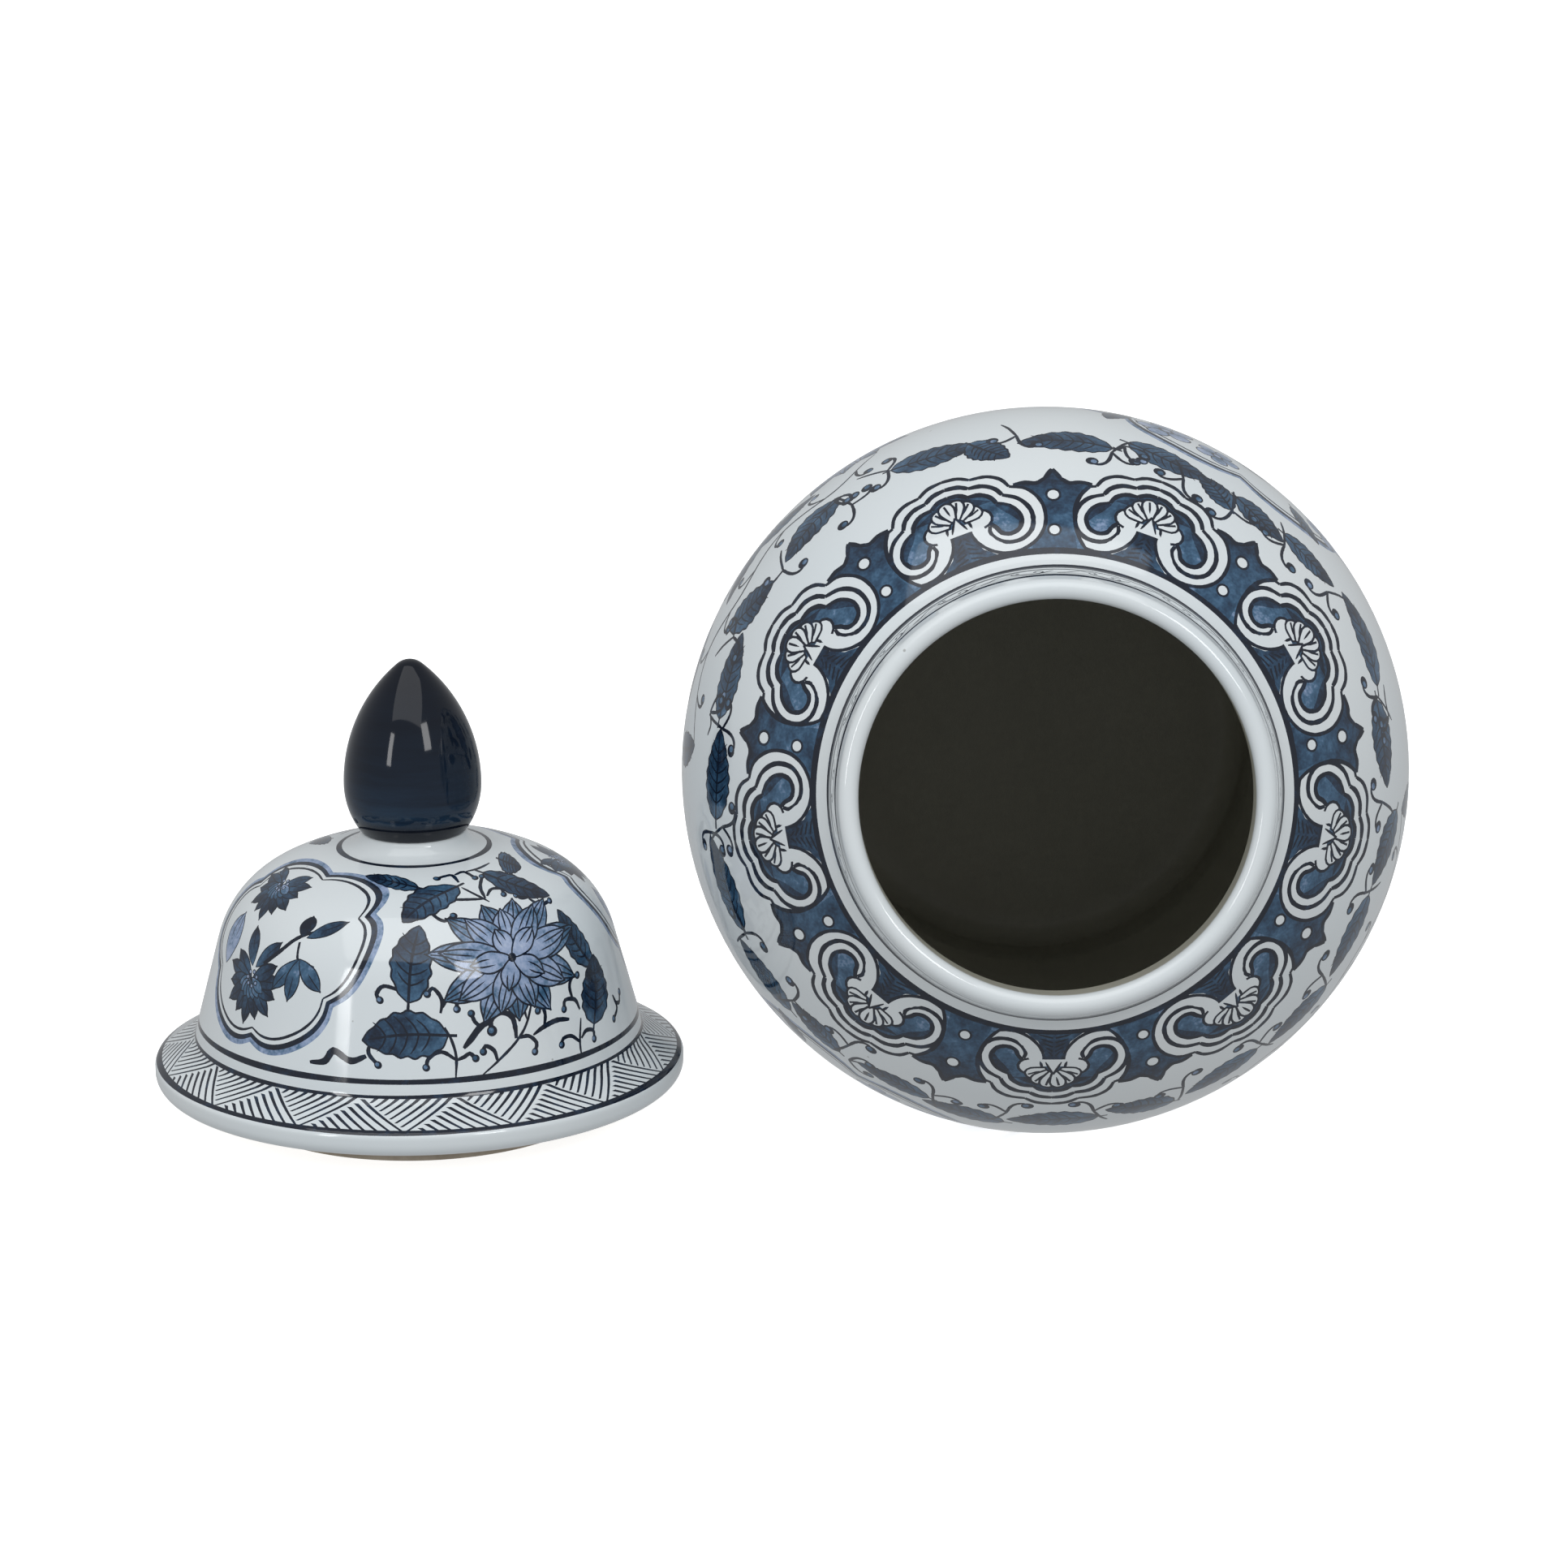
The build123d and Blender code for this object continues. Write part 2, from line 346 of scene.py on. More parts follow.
class Painting:
    """Fills and strokes laid on a lathe, the later ones over the earlier."""

    def __init__(self, lathe, seed, low, high):
        self.lathe = lathe
        self.limits = low, high
        self.shapes = []
        self.hand = random.Random(seed)

    def fill(self, outline, place, ink, tip_ink=None, tip=None):
        """A closed area, with its ink going over to tip_ink towards tip."""
        spots = [place(x, y) for x, y in outline]
        far = place(*tip) if tip else spots[0]
        middle = (sum(p[0] for p in spots) / len(spots), sum(p[1] for p in spots) / len(spots))
        faces = [range(len(spots))]
        self.shapes.append((spots, faces, ink, ink if tip_ink is None else tip_ink, middle, far))

    def brush(self, points, place, width, ink=INK_LINE, ends=(0.35, 0.35), step=1.0, closed=False):
        """A stroke that swells between its ends and wavers a little, as a hand's does."""
        track = smooth(points, closed, step)
        if closed:
            track.append(track[0])
        last = len(track) - 1
        left, right = [], []
        for i, (x, y) in enumerate(track):
            before, after = track[max(i - 1, 0)], track[min(i + 1, last)]
            if closed and i in (0, last):
                before, after = track[last - 1], track[1]
            dx, dy = after[0] - before[0], after[1] - before[1]
            size = hypot(dx, dy) or 1.0
            part = i / max(last, 1)
            grow = min(1.0, part * 3.5) ** 0.7
            fade = min(1.0, (1 - part) * 3.5) ** 0.7
            press = 1.0
            if not closed:
                press = (ends[0] + (1 - ends[0]) * grow) * (ends[1] + (1 - ends[1]) * fade)
            press *= 1 + 0.09 * self.hand.uniform(-1, 1)
            half = width * press / 2
            left.append((x - dy / size * half, y + dx / size * half))
            right.append((x + dy / size * half, y - dx / size * half))
        spots = [place(x, y) for pair in zip(left, right) for x, y in pair]
        faces = [(2 * i, 2 * i + 1, 2 * i + 3, 2 * i + 2) for i in range(last)]
        self.shapes.append((spots, faces, ink, ink, spots[0], spots[0]))

    def dot(self, centre, radius, place, ink=INK_LINE, tall=1.0):
        self.fill(
            [(centre[0] + radius * cos(2 * pi * i / 14), centre[1] + tall * radius * sin(2 * pi * i / 14))
             for i in range(14)],
            place, ink,
        )

    def ring(self, s, width, ink=INK_LINE, waver=0.0):
        """A banding line right round, drawn on the turning wheel."""
        spots = []
        for i in range(COLUMNS + 1):
            angle = 2 * pi * i / COLUMNS
            half = width / 2 * (1 + waver * sin(5 * angle + s))
            spots += [(angle, s - half), (angle, s + half)]
        faces = [(2 * i, 2 * i + 2, 2 * i + 3, 2 * i + 1) for i in range(COLUMNS)]
        self.shapes.append((spots, faces, ink, ink, spots[0], spots[0]))

    def height(self, value):
        """Length along the outline at which the decorated strip reaches a height."""
        return self.lathe.where(value, *self.limits, 1)

    def spot(self, angle, s):
        """Place for a motif: millimetres on the surface, right and up from a point of it."""
        return lambda x, y: (angle + x / self.lathe.radius(s + y), s + y)


def near(place, x, y, turn=0.0, size=1.0):
    """The same kind of place, set inside another one."""
    c, d = cos(turn) * size, sin(turn) * size
    return lambda u, v: place(x + u * c - v * d, y + u * d + v * c)


def mirrored(points, hand):
    return [(hand * x, y) for x, y in points]


def joined(runs, step):
    """One flowing line from runs that meet at sharp corners."""
    return [p for run in runs for p in smooth(run, step=step)[:-1]] + [runs[-1][-1]]


def both_sides(half):
    """Closed outline from its right half, which starts on the middle line."""
    return half + mirrored(reversed(half[1:]), -1)


def petal_outline(length, width, point=0.5):
    """Pointed petal from (0, 0) to (0, length)."""
    w = width / 2
    side = [(0, 0), (0.55 * w, 0.18 * length), (w, 0.5 * length), (0.72 * w, 0.78 * length)]
    right = smooth(side + [(0.18 * w * point, 0.95 * length), (0, length)], step=1.2)
    left = [(-x, y) for x, y in reversed(right[1:-1])]
    return right + left


def petal(paint, place, length, width, ink=INK_PALE, tip_ink=0.5, veins=3, pen=0.5):
    """Washed petal with a dark outline and veins that start at its tip."""
    outline = petal_outline(length, width)
    paint.fill(outline, place, ink, tip_ink, (0, length))
    half = len(outline) // 2
    paint.brush(outline[:half + 1], place, pen, ends=(0.6, 0.9), step=1.4)
    paint.brush(outline[half:] + outline[:1], place, pen, ends=(0.9, 0.6), step=1.4)
    for i in range(veins):
        lean = (i - (veins - 1) / 2) / max(veins, 1)
        paint.brush(
            [(lean * width * 0.25, length * 0.93), (lean * width * 0.62, length * 0.7),
             (lean * width * 0.6, length * (0.42 + 0.1 * (i % 2)))],
            place, pen * 0.9, ends=(0.9, 0.1), step=1.6,
        )


def lotus(paint, place, size, wide=0.3):
    """Open bloom: pointed petals in three ranks, longest to the sides, round a small heart."""
    for count, long, across, offset, ink, tips, veins in (
        (11, 20.5, 10.0, 0.5, 0.36, 0.5, 3),
        (9, 17.5, 9.5, 0.0, 0.33, 0.44, 3),
        (5, 10.5, 7.0, 0.3, 0.31, 0.4, 2),
    ):
        for i in range(count):
            turn = 2 * pi * (i + offset) / count
            reach = 1.0 + wide * sin(turn) ** 2
            spot = near(place, 0, -3.0 * size, turn, size)
            petal(paint, spot, long * reach, across, ink, tips, veins, 0.62)
    paint.dot((0, -3.0 * size), 1.5 * size, place, INK_LINE)


def leaf(paint, place, length, width, bend=0.0, ink=INK_DEEP, veins=5, pen=0.55):
    """Dark leaf with a wavy edge, a midrib and paired side veins."""
    def spine(t):
        return bend * sin(pi * t) * length * 0.5, t * length

    sides = []
    for hand in (1, -1):
        edge = [spine(0)]
        for k in range(1, 2 * veins + 2):
            t = k / (2 * veins + 2)
            swell = sin(pi * min(1.0, t**0.8)) ** 0.75
            wave = 1 + 0.06 * (1 if k % 2 else -1)
            x, y = spine(t)
            edge.append((x + hand * width / 2 * swell * wave, y))
        edge.append(spine(1))
        sides.append(smooth(edge, step=1.3))
    paint.fill(sides[0] + sides[1][-2:0:-1], place, ink - 0.14, ink + 0.08, spine(1))
    for k in range(1, veins + 1):
        t = 0.08 + 0.76 * k / (veins + 1)
        x, y = spine(t)
        reach = width / 2 * sin(pi * t**0.8) ** 0.75 * 0.84
        for hand in (1, -1):
            paint.brush(
                [(x, y), (x + hand * reach * 0.55, y + length * 0.05), (x + hand * reach, y + length * 0.13)],
                place, pen * 1.2, 0.97, ends=(1.0, 0.35), step=1.8,
            )
    for side in sides:
        paint.brush(side, place, pen * 1.35, ends=(0.7, 0.7), step=1.4)
    paint.brush([spine(t) for t in (-0.1, 0.3, 0.6, 0.93)], place, pen * 1.9, ends=(1.0, 0.3), step=1.6)


def leaf_over(paint, place, turn, length, width, bend=0.1, ink=INK_DEEP, veins=6):
    """Leaf with its middle, not its stalk, on the given place."""
    leaf(paint, near(near(place, 0, 0, turn), 0, -length / 2), length, width, bend, ink, veins)


def tendril(paint, place, reach, width=1.0, hook=1, blob=2.1):
    """Thin stem that rolls up and ends in a round, heavier head."""
    points = []
    turns, bend = 9, 2.9
    for i in range(turns + 1):
        t = i / turns
        angle = pi / 2 - hook * (0.1 + bend * t * t)
        step = reach * (1.15 - 0.75 * t) / turns * 1.6
        x, y = points[-1] if points else (0.0, 0.0)
        points.append((x + step * cos(angle), y + step * sin(angle)))
    paint.brush([(0, 0)] + points, place, width, ends=(0.8, 1.0), step=1.2)
    paint.dot(points[-1], blob * 0.75, place, INK_LINE)
    paint.dot((points[-1][0] - 0.2 * blob, points[-1][1] + 0.1), blob * 0.36, place, INK_WASH)


def scroll(paint, place, points, width=0.8, buds=3, size=1.0, reach=6.0):
    """Stem along a few points with curled tendrils branching off both sides."""
    paint.brush(points, place, width, ends=(0.6, 0.6), step=1.6)
    track = smooth(points, step=1.0)
    for k in range(buds):
        i = int((k + 0.7) / (buds + 0.6) * (len(track) - 2))
        x, y = track[i]
        heading = atan2(track[i + 1][1] - y, track[i + 1][0] - x) - pi / 2
        hand = 1 if k % 2 else -1
        branch = near(place, x, y, heading - hand * 0.5, size)
        tendril(paint, branch, reach * (1 + 0.2 * (k % 2)), 1.0, hand, 2.2)


def blossom(paint, place, size, petals=5, ink=INK_PALE):
    """Small round-petalled flower with a dotted heart."""
    for i in range(petals):
        turn = 2 * pi * i / petals
        spot = near(place, 0, 0, turn, size)
        outline = smooth([(0, 0.8), (2.3, 3.0), (2.5, 6.0), (0, 7.4), (-2.5, 6.0), (-2.3, 3.0)], True, 1.0)
        paint.fill(outline, spot, ink, 0.5, (0, 1))
        paint.brush(outline, spot, 0.45, closed=True, step=1.4)
    paint.dot((0, 0), 2.1 * size, place, INK_LINE)
    paint.dot((0, 0), 1.2 * size, place, INK_PALE)


def aster(paint, place, size):
    """Dark spiky flower seen from the side, over a cup of pointed leaves."""
    for i in range(11):
        turn = radians(-125 + 25 * i)
        petal(paint, near(place, 0, 0, turn, size), 12.0 + (i % 2) * 1.5, 4.8, 0.62, 0.85, 1, 0.45)
    for i in range(7):
        turn = radians(-60 + 20 * i)
        petal(paint, near(place, 0, -1.0, turn, size), 7.0, 3.4, 0.4, 0.6, 0, 0.4)
    for i in range(7):
        stamen = (2.2 * cos(2 * pi * i / 7) * size, (2.2 * sin(2 * pi * i / 7) - 0.5) * size)
        paint.dot(stamen, 0.8 * size, place, INK_LINE)
        paint.dot(stamen, 0.45 * size, place, INK_PALE)


def lobed(width, height, lobes, notch):
    """Runs of a cusped frame, one run for each bulging lobe, with a cusp at the top."""
    runs = []
    for k in range(lobes):
        run = []
        for i in range(9):
            t = (k + i / 8) / lobes * 2 * pi + pi / 2
            swell = 1 - notch * (1 - sin(pi * i / 8)) ** 1.6
            run.append((width / 2 * swell * cos(t), height / 2 * swell * sin(t)))
        runs.append(run)
    return runs


def medallion(paint, place, width, height, lobes=6, notch=0.13, shade=4.0):
    """Reserved panel: shaded band and heavy line outside, white gap, thin line inside."""
    for grow, ink in ((shade, 0.4), (shade * 0.5, 0.9), (0.0, INK_WHITE)):
        paint.fill(joined(lobed(width + 2 * grow, height + 2 * grow, lobes, notch), 1.6)[:-1], place, ink)
    for run in lobed(width - shade, height - shade, lobes, notch):
        paint.brush(run, place, 1.1, ends=(0.55, 0.55), step=1.6)


def ruyi(paint, place):
    """Cloud head: scalloped bands round a washed field, two white volutes and a fan of petals."""
    root = [(-7.5, 0.4), (-4.0, 3.0), (-2.2, 6.5), (-1.6, 11.0),
            (1.6, 11.0), (2.2, 6.5), (4.0, 3.0), (7.5, 0.4)]
    crest = [[(0, 23.4), (3.0, 23.0), (5.2, 21.8)], [(5.2, 21.8), (8.6, 21.6), (11.2, 20.2), (12.6, 18.0)]]
    outer = crest + [[(12.6, 18.0), (16.0, 16.9), (18.6, 13.8), (19.6, 10.2), (19.2, 6.4), (17.0, 3.0),
                      (13.2, 0.9), (9.2, 0.7), (5.8, 2.2), (3.4, 4.8), (2.3, 7.8), (2.4, 11.0)]]
    middle = [[(0, 21.2), (2.6, 20.8), (4.5, 19.7)],
              [(4.5, 19.7), (7.4, 19.4), (9.7, 18.0), (10.9, 16.1)],
              [(10.9, 16.1), (14.0, 14.6), (16.1, 12.0), (16.8, 9.2), (16.2, 6.0), (13.8, 3.8), (10.6, 3.4),
               (8.0, 4.6), (6.6, 6.8), (6.9, 8.6)]]
    inner = [[(0, 19.0), (2.2, 18.6), (3.9, 17.5)],
             [(3.9, 17.5), (6.4, 17.3), (8.4, 16.0), (9.4, 14.2)],
             [(9.4, 14.2), (12.0, 13.0), (13.7, 10.9), (14.2, 8.8), (13.4, 6.6), (11.3, 5.6), (9.2, 6.2),
              (8.2, 7.9), (6.9, 9.4), (5.6, 10.8)]]
    paint.fill(root, place, 0.62, 0.93, (0, 11))
    for runs, ink, tip_ink, pen in (
        (outer, INK_WHITE, INK_WHITE, 0.9), (middle, INK_WHITE, INK_WHITE, 1.15), (inner, 0.7, 0.5, 1.15),
    ):
        paint.fill(both_sides(joined(runs, 0.9)), place, ink, tip_ink, (0, 4.0))
        for hand in (1, -1):
            for run in runs:
                paint.brush(mirrored(run, hand), place, pen, 0.96, (0.75, 0.75), 0.9)
    for hand in (1, -1):
        paint.dot((hand * 5.2, 11.0), 3.0, place, INK_LINE, 0.92)
        paint.dot((hand * 5.2, 11.0), 2.3, place, INK_WHITE, 0.92)
        neck = [(4.4, 10.8), (4.3, 8.8), (4.9, 6.4), (6.6, 3.9), (9.0, 2.4)]
        paint.brush(mirrored(neck, hand), place, 2.6, INK_WHITE, (0.9, 0.5), 0.8)
        shade = [(9.0, 14.0), (11.6, 12.8), (13.4, 10.8), (13.9, 8.4), (12.2, 10.2), (10.4, 11.9)]
        paint.fill(mirrored(smooth(shade, True, 1.0), hand), place, 0.8)
    pool = [(-8.6, 15.0), (-4.0, 17.0), (0, 18.6), (4.0, 17.0), (8.6, 15.0), (4.0, 14.4), (-4.0, 14.4)]
    paint.fill(pool, place, 0.84)
    for turn, length in ((62, 6.6), (-62, 6.6), (36, 6.8), (-36, 6.8), (12, 7.0), (-12, 7.0)):
        spot = near(place, 0, 10.8, radians(turn), 1.0)
        side = [(0.5, 1.8), (1.7, length * 0.72), (1.1, length * 0.95)]
        outline = smooth(side + [(0, length)] + mirrored(reversed(side), -1), True, 1.0)
        paint.fill(outline, spot, INK_WHITE)
        paint.brush(outline, spot, 0.55, closed=True, step=1.2)
        paint.brush([(0, length * 0.92), (0, length * 0.5)], spot, 0.5, ends=(1.0, 0.2))
    paint.fill([(0, 13.2), (1.7, 9.6), (0, 10.4), (-1.7, 9.6)], place, INK_WHITE)
    for hand in (1, -1):
        paint.brush([(0, 13.4), (hand * 1.8, 9.4)], place, 0.6, ends=(0.9, 0.4))
    for k in range(5):
        for hand in (1, -1):
            feather = [(0.3, 7.4 - 1.4 * k), (1.4 + 0.7 * k, 6.0 - 1.3 * k)]
            paint.brush(mirrored(feather, hand), place, 0.5, INK_LINE, (1.0, 0.3))


def spandrel(paint, place):
    """Blue crowned pier between two cloud heads, pierced by two white dots."""
    half = (
        [(0, 21.8), (1.6, 19.4)],
        [(1.6, 19.4), (3.4, 18.2), (5.6, 18.6), (8.0, 18.3)],
        [(8.0, 18.3), (5.9, 15.4), (4.7, 11.6), (4.9, 7.2), (6.2, 3.2), (8.2, 0.4)],
    )
    paint.fill(both_sides(joined(half, 0.9)), place, 0.54, 0.84, (0, 22))
    pool = [(-5.6, 0.8), (-4.6, 5.0), (-2.4, 8.4), (0.4, 7.6), (2.8, 9.0), (4.8, 4.8), (5.6, 0.8)]
    paint.fill(smooth(pool, step=1.0), place, 0.6, 0.68, (0, 0))
    for hand in (1, -1):
        for run in half:
            paint.brush(mirrored(run, hand), place, 1.0, INK_LINE, (0.8, 0.8), 0.9)
    for height in (15.0, 5.6):
        paint.dot((0, height), 1.75, place, INK_LINE)
        paint.dot((0, height), 1.2, place, INK_WHITE)


def triangulate(paint, low, high, rows):
    """Cut the strip of surface between two lengths along every edge of the brush work."""
    lathe = paint.lathe
    scale = (lathe.radius(low) + lathe.radius(high)) / 2
    across = 2 * pi * scale
    wide, tall = across / SECTORS, (high - low) / ceil(rows / TILE_ROWS)
    corners, tiles = [], {}
    for spots, faces, ink, tip_ink, middle, far in paint.shapes:
        flat = [(p[0] * scale, p[1]) for p in spots]
        left, right = min(p[0] for p in flat), max(p[0] for p in flat)
        shift = -across * (left // across)
        for extra in (0.0, -across):
            if right + shift + extra <= 0 or left + shift + extra >= across:
                continue
            base = len(corners)
            corners += [(x + shift + extra, y) for x, y in flat]
            start = (middle[0] * scale + shift + extra, middle[1])
            tint = (ink, tip_ink, start, ((far[0] - middle[0]) * scale, far[1] - middle[1]))
            for face in sound(faces, corners[base:]):
                ring = [base + i for i in face]
                xs, ys = [corners[i][0] for i in ring], [corners[i][1] for i in ring]
                for i in range(max(0, int(min(xs) // wide)), min(SECTORS - 1, int(max(xs) // wide)) + 1):
                    first = max(0, int((min(ys) - low) // tall))
                    for j in range(first, int((max(ys) - low) // tall) + 1):
                        tiles.setdefault((i, j), []).append((ring, tint))
    places, found = [], []
    for i in range(SECTORS):
        for j in range(ceil(rows / TILE_ROWS)):
            cut_tile(
                (i * wide, low + j * tall, (i + 1) * wide, low + (j + 1) * tall),
                corners, tiles.get((i, j), ()), scale, places, found,
            )
    return places, found


def area(ring, points):
    return sum(
        points[a][0] * points[b][1] - points[b][0] * points[a][1]
        for a, b in zip(ring, [*ring[1:], ring[0]])
    ) / 2


def sound(faces, points):
    """The faces wound one way; crossed or hollow quads go to triangles, slivers are dropped."""
    for face in faces:
        parts = [list(face)]
        if len(face) == 4:
            a, b, c, d = face
            halves = [[a, b, c], [a, c, d]]
            others = [[b, c, d], [b, d, a]]
            turns = {area(part, points) > 0 for part in halves + others}
            parts = halves if len(turns) > 1 else parts
        for part in parts:
            size = area(part, points)
            if abs(size) > 1e-5:
                yield part if size > 0 else part[::-1]


def inside(ring, corners, x, y):
    """Whether a point lies in a polygon."""
    odd = False
    for a, b in zip(ring, [*ring[1:], ring[0]]):
        (xa, ya), (xb, yb) = corners[a], corners[b]
        if (ya > y) != (yb > y) and x < xa + (y - ya) * (xb - xa) / (yb - ya):
            odd = not odd
    return odd


def cut_tile(limits, corners, painted, scale, places, found):
    """Triangles of one tile, with a grid of points that keeps the curve of the surface."""
    x0, y0, x1, y1 = limits
    columns = COLUMNS // SECTORS
    verts = [
        Vector((x0 + (x1 - x0) * i / columns, y0 + (y1 - y0) * j / TILE_ROWS))
        for j in range(TILE_ROWS + 1) for i in range(columns + 1)
    ]
    row = columns + 1
    edges = [(k + i, k + i + 1) for k in (0, TILE_ROWS * row) for i in range(columns)]
    edges += [(j * row + k, (j + 1) * row + k) for k in (0, columns) for j in range(TILE_ROWS)]
    known, faces = {}, []
    for ring, _ in painted:
        for i in ring:
            if i not in known:
                known[i] = len(verts)
                verts.append(Vector(corners[i]))
        faces.append([known[i] for i in ring])
    flat_verts, _, flat_faces, _, _, origins = delaunay_2d_cdt(verts, edges, faces, 0, 1e-4, True)
    base = len(places)
    places += [(v.x / scale, v.y) for v in flat_verts]
    for face, sources in zip(flat_faces, origins):
        x = sum(flat_verts[i].x for i in face) / len(face)
        y = sum(flat_verts[i].y for i in face) / len(face)
        if not (x0 < x < x1 and y0 < y < y1):
            continue
        tones = [0.0] * len(face)
        top = next((k for k in sorted(sources, reverse=True) if inside(painted[k][0], corners, x, y)), None)
        if top is not None:
            ink, tip_ink, start, reach = painted[top][1]
            size = max(reach[0] ** 2 + reach[1] ** 2, 1e-6)
            for k, i in enumerate(face):
                v = flat_verts[i]
                part = ((v.x - start[0]) * reach[0] + (v.y - start[1]) * reach[1]) / size
                tones[k] = ink + (tip_ink - ink) * (0.5 + 0.5 * max(-1.0, min(1.0, part)))
        found.append(([base + i for i in face], tones))


def plain(low, high, size):
    """Quads no longer than size between two lengths, with no brush work."""
    count = max(1, ceil((high - low) / size))
    stops = [low + (high - low) * i / count for i in range(count + 1)]
    places = [(2 * pi * i / COLUMNS, s) for s in stops for i in range(COLUMNS)]
    found = []
    for j in range(len(stops) - 1):
        for i in range(COLUMNS):
            k = (i + 1) % COLUMNS
            corners = [j * COLUMNS + i, j * COLUMNS + k, (j + 1) * COLUMNS + k, (j + 1) * COLUMNS + i]
            found.append((corners, [0.0] * 4))
    return places, found


def build(name, lathe, zones, body, materials):
    """One closed mesh from its zones; each zone is (places, faces, material number)."""
    mesh = bpy.data.meshes.new(name)
    bm = bmesh.new()
    length_layer = bm.verts.layers.float.new("arc")
    ink_layer = bm.loops.layers.float.new("ink")
    for places, found, material in zones:
        made = {}
        for i in sorted({i for corners, _ in found for i in corners}):
            angle, s = places[i]
            made[i] = bm.verts.new(lathe.point(angle, s))
            made[i][length_layer] = s
        for corners, tones in found:
            if len(set(corners)) < 3:
                continue
            face = bm.faces.new([made[i] for i in corners])
            face.material_index = material
            face.smooth = True
            for loop, tone in zip(face.loops, tones):
                loop[ink_layer] = tone
    bmesh.ops.remove_doubles(bm, verts=bm.verts, dist=8e-6)
    bmesh.ops.dissolve_degenerate(bm, edges=bm.edges, dist=1e-6)
    loose = [v for v in bm.verts if not v.link_faces]
    bmesh.ops.delete(bm, geom=loose, context="VERTS")
    normals = []
    for vert in bm.verts:
        offset = vert.co / MM - lathe.origin
        out = offset - lathe.axis * offset.dot(lathe.axis)
        out = out.normalized() if out.length > 1e-3 else lathe.side.copy()
        normals.append(lathe.normal(out, vert[length_layer]))
    bm.to_mesh(mesh)
    bm.free()
    mesh.attributes.remove(mesh.attributes["arc"])
    for material in materials:
        mesh.materials.append(material)
    mesh.normals_split_custom_set_from_vertices(normals)
    piece = bpy.data.objects.new(name, mesh)
    bpy.context.scene.collection.objects.link(piece)
    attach(piece, body)
    return piece


# ------------------------------------------------------------------ glazes
class Glaze:
    """A Principled material and the nodes that its colour and relief are made of."""

    def __init__(self, name):
        self.material = bpy.data.materials.new(name)
        self.material.use_nodes = True
        self.nodes = self.material.node_tree.nodes
        self.links = self.material.node_tree.links
        self.bsdf = self.nodes["Principled BSDF"]
        self.coords = self.nodes.new("ShaderNodeTexCoord").outputs["Object"]

    def feed(self, sockets, **values):
        """Set each named socket to a number or a colour, or link it to another node."""
        for key, value in values.items():
            socket = sockets[key.replace("_", " ")]
            if isinstance(value, tuple) and len(value) == 3 and len(socket.default_value) == 4:
                socket.default_value = (*value, 1)
            elif isinstance(value, (int, float, tuple)):
                socket.default_value = value
            else:
                self.links.new(value, socket)

    def noise(self, scale, detail=3.0, rough=0.5, coords=None):
        node = self.nodes.new("ShaderNodeTexNoise")
        self.feed(node.inputs, Scale=scale, Detail=detail, Roughness=rough, Vector=coords or self.coords)
        return node.outputs["Fac"]

    def spread(self, value, low, high, to_low, to_high):
        node = self.nodes.new("ShaderNodeMapRange")
        self.feed(node.inputs, From_Min=low, From_Max=high, To_Min=to_low, To_Max=to_high, Value=value)
        return node.outputs["Result"]

    def maths(self, kind, a, b):
        node = self.nodes.new("ShaderNodeMath")
        node.operation = kind
        for socket, value in zip(node.inputs, (a, b)):
            if isinstance(value, float):
                socket.default_value = value
            else:
                self.links.new(value, socket)
        return node.outputs[0]

    def ramp(self, value, stops):
        node = self.nodes.new("ShaderNodeValToRGB")
        elements = node.color_ramp.elements
        while len(elements) < len(stops):
            elements.new(0.5)
        for element, (place, colour) in zip(elements, stops):
            element.position = place
            element.color = (*colour, 1)
        self.links.new(value, node.inputs["Fac"])
        return node.outputs["Color"]

    def mix(self, factor, a, b):
        node = self.nodes.new("ShaderNodeMix")
        node.data_type = "RGBA"
        self.feed(node.inputs, Factor=factor, A=a, B=b)
        return node.outputs["Result"]

    def finish(self, strength, distance, scale, **values):
        """Set the surface's values and give it the fine waviness of a fired surface."""
        self.feed(self.bsdf.inputs, **values)
        bump = self.nodes.new("ShaderNodeBump")
        self.feed(bump.inputs, Strength=strength, Distance=distance, Height=self.noise(scale, 2.0))
        self.feed(self.bsdf.inputs, Normal=bump.outputs["Normal"])
        return self.material


